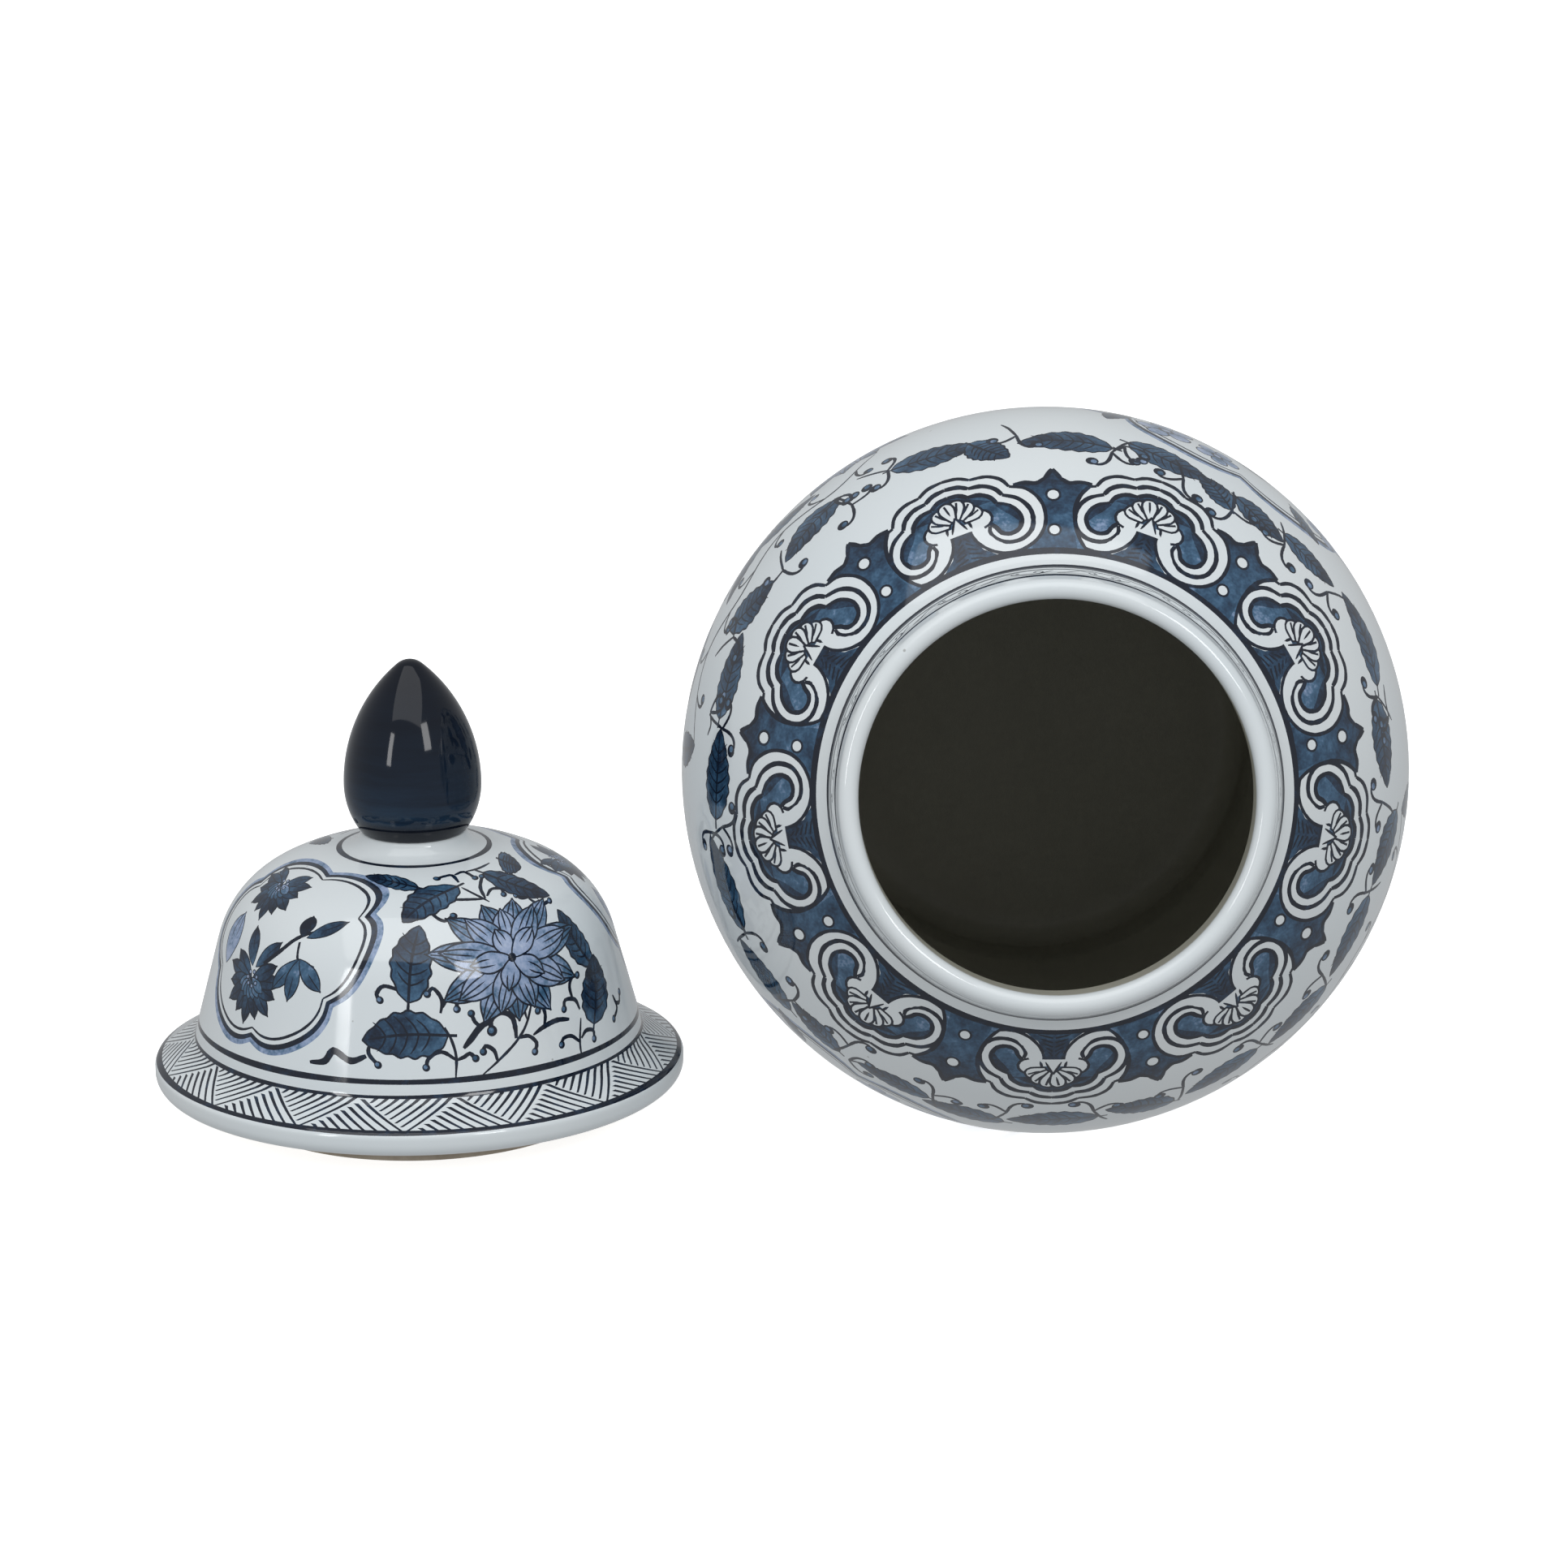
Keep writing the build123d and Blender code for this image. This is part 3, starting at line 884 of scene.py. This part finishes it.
def painted_porcelain():
    """Clear glaze over a bluish-white body, with cobalt that gathers and thins in the strokes."""
    glaze = Glaze("painted_porcelain")
    ink = glaze.nodes.new("ShaderNodeAttribute")
    ink.attribute_name = "ink"
    tone = ink.outputs["Fac"]
    pool = glaze.spread(glaze.noise(170.0, 3.0, 0.6), 0.3, 0.7, -0.14, 0.12)
    grain = glaze.spread(glaze.noise(900.0, 2.0), 0.3, 0.7, -0.05, 0.05)
    waver = glaze.maths("ADD", pool, grain)
    painted = glaze.maths("GREATER_THAN", tone, 0.02)
    level = glaze.maths("ADD", tone, glaze.maths("MULTIPLY", waver, painted))
    cobalt = glaze.ramp(level, [
        (0.0, (0.60, 0.66, 0.70)),
        (0.22, (0.36, 0.43, 0.59)),
        (0.36, (0.24, 0.32, 0.48)),
        (0.50, (0.054, 0.125, 0.215)),
        (0.64, (0.024, 0.066, 0.125)),
        (0.78, (0.010, 0.026, 0.056)),
        (0.92, (0.005, 0.009, 0.020)),
    ])
    body = glaze.ramp(glaze.noise(9.0), [(0.3, (0.635, 0.69, 0.72)), (0.7, (0.69, 0.73, 0.745))])
    speck = glaze.nodes.new("ShaderNodeTexVoronoi")
    glaze.feed(speck.inputs, Scale=55.0, Vector=glaze.coords)
    fleck = glaze.spread(speck.outputs["Distance"], 0.022, 0.034, 0.55, 0.0)
    flecked = glaze.mix(fleck, body, (0.16, 0.15, 0.13))
    return glaze.finish(
        0.12, 0.0004, 45.0, Base_Color=glaze.mix(painted, flecked, cobalt), IOR=1.52, Specular_IOR_Level=0.5,
        Roughness=glaze.spread(glaze.noise(30.0), 0.3, 0.7, 0.05, 0.1),
    )


def inner_glaze_painted_shade():
    """Glaze inside the jar and lid, uneven over the throwing marks, taken down to an olive-grey that is
    painted shade of the enclosed hollows.
    """
    glaze = Glaze("inner_glaze_painted_shade")
    # painted shade: the inside glaze is made darker and olive-tinted to stand for the shade within the
    # hollows
    colour = glaze.ramp(glaze.noise(14.0, 4.0), [(0.3, (0.36, 0.355, 0.30)), (0.7, (0.42, 0.413, 0.355))])
    return glaze.finish(0.2, 0.0006, 60.0, Base_Color=colour, Roughness=0.45)


def biscuit():
    """Bare fired clay of the foot ring and the lid's seat: warm, dry and pitted."""
    glaze = Glaze("biscuit_clay")
    colour = glaze.ramp(glaze.noise(60.0, 5.0, 0.65), [(0.3, (0.30, 0.25, 0.19)), (0.7, (0.47, 0.41, 0.33))])
    return glaze.finish(0.5, 0.0004, 700.0, Base_Color=colour, Roughness=0.85)


def cobalt_glaze():
    """Knob: cobalt brushed on so thick that it is nearly black and streaked where it runs thin. A painted
    reflection of the floor lightens and blues the low bulge and fades towards the tip, and painted shade
    darkens the seat.
    """
    glaze = Glaze("cobalt_glaze")
    stretch = glaze.nodes.new("ShaderNodeMapping")
    glaze.feed(stretch.inputs, Scale=(30.0, 30.0, 240.0), Vector=glaze.coords)
    streaks = glaze.noise(1.0, 4.0, 0.6, stretch.outputs["Vector"])
    split = glaze.nodes.new("ShaderNodeSeparateXYZ")
    glaze.feed(split.inputs, Vector=glaze.coords)
    # painted reflection: a pale band low on the bud where the floor would reflect, fading to the tip, with
    # painted shade in the crease at the seat
    band = glaze.ramp(glaze.spread(split.outputs["Z"], 104.0 * MM, LID_HEIGHT * MM, 0.0, 1.0), [
        (place, (grey, grey, grey))
        for place, grey in ((0.0, 0.002), (0.09, 0.03), (0.13, 0.9), (0.32, 0.42), (0.6, 0.16), (1.0, 0.0))
    ])
    level = glaze.maths("MULTIPLY", band, glaze.spread(streaks, 0.3, 0.7, 0.5, 1.2))
    colour = glaze.ramp(level, [
        (0.0, (0.0035, 0.0055, 0.011)), (0.5, (0.008, 0.018, 0.036)), (1.0, (0.014, 0.036, 0.068)),
    ])
    return glaze.finish(
        0.05, 0.0003, 80.0, Base_Color=colour, IOR=1.5, Specular_IOR_Level=0.3,
        Roughness=glaze.spread(glaze.noise(50.0), 0.3, 0.7, 0.04, 0.09),
    )


# ------------------------------------------------------------------ where the pieces stand
mounts = {mount["name"]: mount for mount in frame["record"]["mounts"]}
bore = mounts["mouth_bore"]
jar_up = Vector(bore["axis"]).normalized()
bore_height = JAR_HEIGHT - LIP_ROUND - BORE_LENGTH / 2
jar_foot = Vector(bore["pos_m"]) / MM - jar_up * bore_height
jar_side = Vector((1, 0, 0))
knob_low, knob_high = (Vector(p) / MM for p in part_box("lid_knob"))
lid_foot = Vector(((knob_low.x + knob_high.x) / 2, (knob_low.y + knob_high.y) / 2, 0))

jar_points, jar_marks = jar_profile()
lid_points, lid_marks = lid_profile()
jar = Lathe(jar_points, jar_foot, jar_side, jar_up.cross(jar_side))
lid = Lathe(lid_points, lid_foot, (0, -1, 0), (1, 0, 0))
knob = Lathe(knob_profile(), lid_foot, (0, -1, 0), (1, 0, 0), 0.4)
outside_low, outside_high, inside_start = (jar.run[mark] for mark in jar_marks)
bare_low, bare_high, painted_low, painted_high = (lid.run[mark] for mark in lid_marks)


# ------------------------------------------------------------------ decoration of the jar
RUYI_COUNT = 9
BAND_EDGE_RADIUS = 83.4    # inner line of the cloud-head band
CLOUD_UNIT = 1.235         # millimetres of radius for each unit of a cloud head
CLOUD_TURN = radians(40.0 / 43.0)
PANEL_ANGLE = radians(57)


def paint_jar():
    low, high = outside_low, outside_high
    paint = Painting(jar, 7, low, high)
    top, root = paint.height(BELLY_HEIGHT), paint.height(303.0)
    # body: two cusped panels with sprays of lotus between them, under a garland of leaves
    for turn in (0.0, pi):
        jar_spray(paint, paint.spot(PANEL_ANGLE + pi / 2 + turn, paint.height(176.0)))
        jar_panel(paint, paint.spot(PANEL_ANGLE + turn, paint.height(168.0)))
    garland(paint)
    # lower register: a ring of lappets, and the foot lines
    lappets(paint)
    # collar of cloud heads hanging from the neck
    for k in range(RUYI_COUNT):
        for motif, offset in ((ruyi, 0.0), (spandrel, 0.5)):
            centre = radians(-90.5) + 2 * pi * (k + offset) / RUYI_COUNT

            def place(x, y, centre=centre):
                radius = BAND_EDGE_RADIUS + y * CLOUD_UNIT
                return centre + x * CLOUD_TURN, jar.where(radius, top, high - 22.0)

            motif(paint, place)
    edge = jar.where(BAND_EDGE_RADIUS, top, high - 22.0)
    paint.ring(edge, 2.4, 0.95, 0.12)
    paint.ring(root - 1.0, 3.2, 0.97, 0.1)
    paint.ring(root + 2.6, 1.3, 0.93, 0.3)
    neck_vine(paint, paint.height(308.8))
    paint.ring(paint.height(313.2), 1.9, 0.95, 0.2)
    return triangulate(paint, low, high, 76)


def jar_panel(paint, place):
    medallion(paint, place, 136.0, 148.0, 8, 0.10, 4.0)
    paint.brush([(-40, -50), (-22, -26), (-14, 2), (4, 26), (30, 50)], place, 2.0, ends=(1.0, 0.4), step=2.0)
    paint.brush([(-16, -10), (6, -16), (30, -12)], place, 1.4, ends=(0.9, 0.4), step=2.0)
    paint.brush([(-12, 10), (-30, 24), (-38, 46)], place, 1.3, ends=(0.9, 0.4), step=2.0)
    for x, y, turn, size in (
        (30, 52, -0.4, 1.5), (-14, 4, 0.6, 1.25), (34, -10, -1.2, 1.35), (-38, 48, 0.4, 1.3),
        (10, 58, 0.2, 1.2), (-46, 14, 0.9, 1.1), (48, 26, -0.9, 1.2),
    ):
        blossom(paint, near(place, x, y, turn), size)
    aster(paint, near(place, -24, -42, 2.6), 1.6)
    for x, y, turn in (
        (4, 38, 1.2), (16, 32, -1.5), (16, -30, -2.2), (-28, -16, 1.4), (-44, 24, 1.5),
        (4, -44, -1.9), (44, 40, -0.4), (-22, 56, 0.9), (44, 2, -1.9),
    ):
        leaf(paint, near(place, x, y, turn), 19.0, 8.5, 0.15, veins=5)


def jar_spray(paint, base):
    """Lotus spray that fills the ground between two panels."""
    scroll(paint, base, [(-66, 44), (-46, 58), (-20, 52), (4, 58), (30, 50), (60, 60)], 1.3, 7, 1.25, 7.0)
    scroll(paint, base, [(-58, 4), (-44, -24), (-14, -44), (10, -58), (30, -78)], 1.3, 6, 1.3, 7.5)
    scroll(paint, base, [(-14, -44), (-40, -58), (-58, -52)], 1.1, 3, 1.2, 7.0)
    scroll(paint, base, [(28, -38), (56, -22), (60, 10), (58, 38)], 1.2, 5, 1.2, 7.0)
    scroll(paint, base, [(-30, 20), (-10, 30), (8, 26), (20, 8)], 1.1, 4, 1.2, 6.5)
    lotus(paint, near(base, -58, 24, 0.1), 1.15)
    lotus(paint, near(base, 26, -12, -0.2), 1.35)
    for x, y, spin, long, wide, bend in (
        (-26, 40, 1.3, 30, 12, 0.1), (-4, 40, -1.2, 30, 12, 0.1), (34, 34, -1.5, 32, 13, 0.1),
        (62, 48, 0.2, 26, 12, 0.1), (-34, -4, 0.4, 30, 13, 0.1), (-8, 4, -0.3, 28, 13, -0.1),
        (-62, -22, 2.8, 28, 12, 0.1), (-36, -36, 2.1, 28, 13, 0.1), (62, -22, 0.3, 30, 12, 0.1),
        (-12, -64, 1.8, 26, 12, 0.1), (18, -62, -1.8, 28, 13, 0.1), (50, -56, 2.6, 26, 12, 0.1),
        (-56, -72, 1.2, 26, 12, 0.1), (44, 20, 0.5, 22, 10, 0.1), (-4, -24, 0.9, 24, 11, 0.1),
    ):
        leaf_over(paint, near(base, x, y), spin, long, wide, bend, veins=5)


def garland(paint):
    """Leaves set end to end round the shoulder, with curled tendrils hanging between them."""
    for angle, level, spin, long, wide in (
        (109, 247, 1.45, 31, 11), (100, 254, 0.7, 19, 10), (87, 253, -1.6, 32, 11), (69, 250, 1.35, 31, 11),
        (60, 257, -2.2, 18, 9), (51, 255, 1.35, 22, 10), (40, 251, 1.7, 25, 9), (24, 249, -1.75, 34, 11),
        (6, 255, 1.6, 30, 12), (133, 246, -1.3, 28, 12), (149, 246, 1.1, 25, 12), (161, 253, 1.7, 30, 11),
        (178, 256, 1.5, 31, 13), (197, 250, 1.65, 34, 12), (214, 245, 1.6, 30, 11), (226, 250, 1.4, 24, 10),
        (242, 251, 1.6, 27, 9), (255, 246, 1.5, 29, 11), (270, 250, 1.65, 31, 12), (285, 251, 1.1, 26, 11),
        (300, 250, 1.7, 29, 11), (316, 247, 1.5, 28, 11), (332, 251, 1.7, 31, 11), (348, 248, 1.2, 28, 12),
    ):
        leaf_over(paint, paint.spot(radians(angle), paint.height(level)), spin, long * 1.05, wide * 1.3)
    for angle, level, spin, hook in (
        (117, 244, 1.2, 1), (95, 247, 0.4, -1), (79, 256, -0.6, 1), (77, 250, 2.8, -1),
        (66, 259, 0.4, -1), (56, 262, 0.2, 1), (34, 256, -0.7, 1), (45, 258, 0.5, -1),
        (14, 254, -1.0, 1), (10, 248, 1.9, -1), (125, 252, 0.3, 1), (127, 240, 2.2, -1),
        (141, 252, -0.4, -1), (155, 246, 0.9, 1), (170, 258, -0.3, 1), (168, 247, 2.4, -1),
        (187, 259, 0.5, -1), (188, 249, 1.9, 1), (206, 252, 0.2, 1), (220, 254, -0.3, -1),
        (232, 258, -0.2, 1), (234, 247, 2.7, 1), (249, 255, 0.3, -1), (262, 256, -0.5, 1),
        (277, 257, 0.4, -1), (293, 256, -0.3, 1), (308, 255, 0.3, -1), (324, 256, -0.3, 1),
        (340, 256, 0.4, -1), (356, 258, -0.4, 1),
    ):
        place = paint.spot(radians(angle), paint.height(level))
        tendril(paint, place, 10.5, 1.4, hook, 3.1)
        tendril(paint, near(place, 0, 0, spin + hook * 1.1), 9.0, 1.4, -hook, 3.1)
        stem = [(0, 0), (sin(spin) * 6, cos(spin) * -6 - 2), (sin(spin) * 12, cos(spin) * -8 - 5)]
        paint.brush(stem, place, 1.2, ends=(0.8, 0.5))


def lappets(paint):
    """Ring of pointed lotus panels standing on the foot lines."""
    count = 16
    low = paint.height(20.0)
    half = [(15.6, 0.0), (15.9, 16.0), (15.4, 26.0)], [(15.4, 26.0), (11.0, 31.0), (5.0, 35.5), (0, 42.0)]
    for k in range(count):
        place = paint.spot(2 * pi * (k + 0.5) / count, low + 3.0)
        for grow, ink, tip_ink in (
            (1.0, 0.9, 0.9), (0.93, INK_WHITE, INK_WHITE), (0.80, 0.9, 0.9), (0.75, 0.42, 0.62),
            (0.45, INK_WHITE, INK_WHITE),
        ):
            right = [(x * grow, y * grow) for x, y in joined(half, 1.6)]
            paint.fill(right + mirrored(reversed(right[:-1]), -1), place, ink, tip_ink, (0, 30))
        blossom(paint, near(place, 0, 10.5), 0.62)
        paint.dot((0, 20.5), 1.2, place, INK_LINE)
    for s, width in ((paint.height(8.5), 1.0), (paint.height(17.5), 1.6), (low + 1.6, 0.8)):
        paint.ring(s, width, 0.93, 0.12)
    paint.ring(low + 48.5, 1.0, 0.93, 0.15)
    paint.ring(low + 52.0, 1.9, 0.93, 0.15)


def neck_vine(paint, s):
    """Small running scroll round the neck."""
    count = 18
    for k in range(count):
        place = paint.spot(2 * pi * k / count, s)
        paint.brush([(-13, -1.6), (-8, 1.7), (-2, 1.4), (1.6, -0.6), (0.2, -1.9), (-1.4, -0.9)], place, 0.75,
                    0.93, (0.6, 0.8), 1.0)
        paint.brush([(-8, 1.7), (-9.5, -0.2), (-7.6, -1.4), (-6.2, -0.2)], place, 0.7, 0.93, (0.6, 0.8), 1.0)
        paint.brush([(1.4, -1.2), (5.0, -1.9), (9.0, 0.6), (12.5, 1.6)], place, 0.75, 0.93, (0.6, 0.5), 1.0)
        paint.dot((-0.7, -0.9), 0.7, place, 0.93)
        paint.dot((-6.6, -0.4), 0.65, place, 0.93)


# ------------------------------------------------------------------ decoration of the lid
def paint_lid():
    low, high = painted_low, painted_high
    paint = Painting(lid, 11, low + 4.0, high)
    edge, root = low + 2.6, paint.height(29.4)
    hatched_band(paint, edge, root)
    paint.ring(edge, 2.2, 0.95, 0.15)
    paint.ring(root, 1.4, 0.92, 0.2)
    base = paint.height(34.6)
    for angle in (-47.5, 114.0):
        lid_medallion(paint, paint.spot(radians(angle), base + 43.5))
    for k in range(2):
        lid_spray(paint, paint.spot(radians(20) + pi * k, base))
    paint.ring(base, 2.1, 0.95, 0.15)
    paint.ring(high - 1.2, 2.0, 0.95, 0.15)
    return triangulate(paint, low, high, 40)


def hatched_band(paint, edge, root):
    """Zigzag round the flange, each triangle ruled parallel to one of its sides."""
    count, rules = 15, 8
    tall = root - edge
    for k in range(count):
        start = 2 * pi * k / count
        wide = 2 * pi / count

        def place(x, y, start=start, wide=wide):
            return start + x * wide, edge + y * tall

        for corner, one, two in (((0.04, 0), (0.52, 0.94), (0.98, 0)), ((0.54, 1), (1.46, 1), (1.0, 0.06))):
            for i in range(1, rules + 1):
                t = (i + 0.3) / (rules + 0.3)
                stroke(paint, between(corner, one, t), between(corner, two, t), place, 0.023)


def stroke(paint, a, b, place, half):
    """Straight ruled line on the flange, a little heavier at its start."""
    parts = 5
    for i in range(parts):
        t, u = i / parts, (i + 1) / parts
        p, q = between(a, b, t), between(a, b, u)
        w, v = half * (1.15 - 0.5 * t), half * (1.15 - 0.5 * u)
        paint.fill([(p[0] - w, p[1]), (p[0] + w, p[1]), (q[0] + v, q[1]), (q[0] - v, q[1])], place, 0.92)


def lid_medallion(paint, place):
    medallion(paint, place, 80.0, 74.0, 6, 0.11, 4.0)
    petal(paint, near(place, -26, -14, -0.1), 20.0, 11.0, 0.33, 0.4, 2)
    aster(paint, near(place, -15, 21, 3.3), 1.15)
    aster(paint, near(place, -5, -15, 3.1), 1.2)
    petal(paint, near(place, -6, -10, 0.35), 15.0, 6.0, 0.6, 0.85, 1)
    petal(paint, near(place, -4, -10, -0.7), 15.0, 5.5, 0.6, 0.85, 1)
    paint.brush([(0, -8), (6, -2), (11, 4), (17, 8)], place, 1.7, ends=(1.0, 0.5))
    petal(paint, near(place, 13, 5, 0.1), 9.0, 6.0, 0.85, 0.95, 0)
    petal(paint, near(place, 15, 5, -0.95), 15.0, 5.5, 0.6, 0.85, 1)
    paint.brush([(13, 3), (15, -3), (18, -4), (23, -5)], place, 1.0, ends=(1.0, 0.5))
    for spin in (2.5, 3.05, -2.3):
        petal(paint, near(place, 16, -3, spin), 16.0, 6.0, 0.5, 0.66, 1)


def curl(paint, place, points, width=1.5):
    """Short branch that bends over and ends in a round, heavy head."""
    paint.brush(points, place, width, ends=(0.55, 1.0), step=1.2)
    x, y = points[-1]
    paint.dot((x, y), width * 0.95, place, INK_LINE)
    paint.dot((x - 0.3, y + 0.2), width * 0.5, place, INK_WASH)


def lid_spray(paint, ground):
    """Lotus on its stem with dark leaves and curled branches, between two medallions."""
    for points, width in (
        ([(-11, 0), (-10, 8), (-11, 14), (-13, 19)], 1.1),
        ([(-1, 1), (5, 5), (13, 11), (18, 17), (22, 27)], 1.1), ([(18, 18), (17, 24)], 1.0),
        ([(41, 0), (41, 5), (43, 13)], 1.1), ([(4, 74), (7, 70), (12, 64)], 1.1),
        ([(9, 83), (14, 83), (21, 84)], 1.3), ([(-64, 5), (-58, 6), (-54, 10), (-48, 7), (-42, 9)], 2.6),
        ([(-7, 11), (-4, 14), (0, 18), (5, 20)], 2.4), ([(20, 12), (25, 14), (31, 15), (37, 14)], 1.9),
    ):
        paint.brush(points, ground, width, ends=(0.4, 0.5), step=1.2)
    for points in (
        [(-10, 7), (-14, 10), (-17, 10), (-20, 8), (-21, 5)], [(-10, 7), (-7, 8), (-5, 9), (-3, 7)],
        [(-14, 24), (-13, 28), (-14, 31), (-16, 33), (-18, 31)], [(-13, 26), (-11, 29), (-8, 29), (-8, 25)],
        [(0, 18), (-2, 20), (-3, 23)], [(5, 5), (4, 9), (1, 11), (0, 9)],
        [(14, 12), (18, 12), (21, 9), (20, 6)], [(25, 14), (26, 18), (25, 21), (23, 20)],
        [(41, 5), (37, 8), (33, 8), (32, 6)],
        [(42, 6), (45, 8), (49, 7), (49, 4)], [(43, 16), (41, 20), (36, 21), (35, 18)],
        [(40, 20), (39, 25), (41, 28), (44, 28)], [(66, 15), (68, 10), (64, 7)],
        [(67, 12), (71, 11), (73, 14)],
        [(-26, 32), (-33, 34), (-36, 31), (-35, 29)], [(-40, 14), (-41, 10), (-38, 6)],
        [(11, 66), (11, 72), (14, 78)], [(4, 77), (3, 82), (0, 82), (-3, 81)], [(4, 82), (8, 83), (11, 78)],
        [(12, 67), (15, 70), (19, 69), (19, 66)], [(10, 66), (4, 67), (-2, 68)],
        [(30, 65), (30, 62), (26, 62), (24, 64)], [(29, 61), (33, 57), (39, 57)],
        [(-10, 65), (-10, 61), (-7, 58), (-3, 60)],
    ):
        curl(paint, ground, points)
    curl(paint, ground, [(13, 12), (13, 16), (12, 20), (8, 22), (4, 20), (4, 16)], 2.1)
    for x, y, spin, long, wide, bend, ink in (
        (-12, 16, 1.62, 31, 16.5, 0.1, INK_DEEP), (-25, 28, -0.3, 30, 14, -0.1, INK_DEEP),
        (54, 29, 0.5, 27, 10.5, -0.15, INK_DEEP), (50, 9, -0.25, 24, 17, 0.1, 0.8),
        (-11, 76, 1.25, 19, 8.5, 0.1, INK_DEEP), (3, 75, 2.17, 30, 12.5, 0.12, INK_DEEP),
        (15, 80, -2.27, 33, 9.5, 0.1, 0.78), (27, 84, -2.4, 12, 12, 0.1, 0.75),
    ):
        leaf(paint, near(ground, x, y, spin), long, wide, bend, ink)
    lotus(paint, near(ground, 15, 44), 1.12, 0.42)


# ------------------------------------------------------------------ assembling the pieces
# the inside material carries painted shade of the jar's and lid's hollows
porcelain, painted_shade_inside, bare_clay, knob_glaze_painted_reflection = painted_porcelain(), inner_glaze_painted_shade(), biscuit(), cobalt_glaze()

foot_start = jar.where(FOOT_RING_INSIDE, 0, outside_low)
jar_zones = [
    (*plain(0.0, foot_start, 8.0), 0),
    (*plain(foot_start, foot_start + FOOT_RING_DEPTH, 2.0), 0),
    (*plain(foot_start + FOOT_RING_DEPTH, outside_low, 1.0), 2),
    (*paint_jar(), 0),
    (*plain(outside_high, inside_start, 0.7), 0),
    (*plain(inside_start, jar.run[-1], 5.0), 1),
]
jar_piece = build("painted_jar", jar, jar_zones, "jar", (porcelain, painted_shade_inside, bare_clay))
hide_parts("jar_body")

lid_zones = [
    (*plain(0.0, bare_low, 5.0), 1),
    (*plain(bare_low, bare_high, 1.0), 2),
    (*plain(bare_high, painted_low, 0.8), 0),
    (*paint_lid(), 0),
    (*plain(painted_high, lid.run[-1], 1.2), 0),
]
lid_piece = build("painted_lid", lid, lid_zones, "lid", (porcelain, painted_shade_inside, bare_clay))
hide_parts("lid_shell")

knob_zones = [(*plain(0.0, knob.run[-1], 1.0), 0)]
knob_piece = build("bud_knob", knob, knob_zones, "lid", (knob_glaze_painted_reflection,))
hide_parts("lid_knob")


# ------------------------------------------------------------------ floor, light and camera
def floor():
    bpy.ops.mesh.primitive_circle_add(vertices=96, radius=14.0, fill_type="NGON", location=(0, 2, 0))
    sheet = bpy.context.object
    sheet.name = "studio_floor"
    material = bpy.data.materials.new("white_sweep")
    material.use_nodes = True
    inputs = material.node_tree.nodes["Principled BSDF"].inputs
    inputs["Base Color"].default_value = (0.9, 0.9, 0.9, 1)
    inputs["Roughness"].default_value = 0.9
    inputs["Emission Color"].default_value = (1, 1, 1, 1)
    inputs["Emission Strength"].default_value = 0.8
    sheet.data.materials.append(material)
    # the white sweep is a backdrop: it throws no glare up into the glaze
    sheet.visible_diffuse = sheet.visible_glossy = sheet.visible_shadow = False


def softbox(name, azimuth, elevation, distance, size, power, target):
    """Rectangular area light facing target, its azimuth measured to the right from -Y."""
    light = bpy.data.lights.new(name, "AREA")
    light.shape = "RECTANGLE"
    light.size, light.size_y = size
    light.energy = power
    lamp = bpy.data.objects.new(name, light)
    direction = Vector((
        sin(radians(azimuth)) * cos(radians(elevation)),
        -cos(radians(azimuth)) * cos(radians(elevation)),
        sin(radians(elevation)),
    ))
    lamp.location = target + direction * distance
    lamp.rotation_euler = direction.to_track_quat("Z", "Y").to_euler()
    bpy.context.scene.collection.objects.link(lamp)


def world():
    scene_world = bpy.data.worlds.new("studio")
    scene_world.use_nodes = True
    background = scene_world.node_tree.nodes["Background"]
    background.inputs["Color"].default_value = (0.97, 0.985, 1.0, 1)
    background.inputs["Strength"].default_value = 0.48
    bpy.context.scene.world = scene_world
    bpy.context.scene.view_settings.view_transform = "Standard"


def camera():
    data = bpy.data.cameras.new("camera")
    data.sensor_width = 36.0
    data.lens = 161.2
    data.clip_end = 60.0
    eye = bpy.data.objects.new("camera", data)
    pitch, roll = radians(90 - 16.11), radians(-0.64)
    eye.matrix_world = (
        Matrix.Translation((0.0035, -2.460, 0.8234))
        @ Matrix.Rotation(pitch, 4, "X") @ Matrix.Rotation(roll, 4, "Z")
    )
    bpy.context.scene.collection.objects.link(eye)
    bpy.context.scene.camera = eye


floor()
world()
middle = Vector((0, 0, 0.12))
softbox("key_box", 31, 29, 2.2, (0.5, 0.75), 9.0, middle)
softbox("left_box", -40, 18, 2.4, (0.3, 0.9), 7.0, middle)
softbox("top_box", -12, 66, 2.6, (3.0, 2.4), 31.0, middle)
camera()
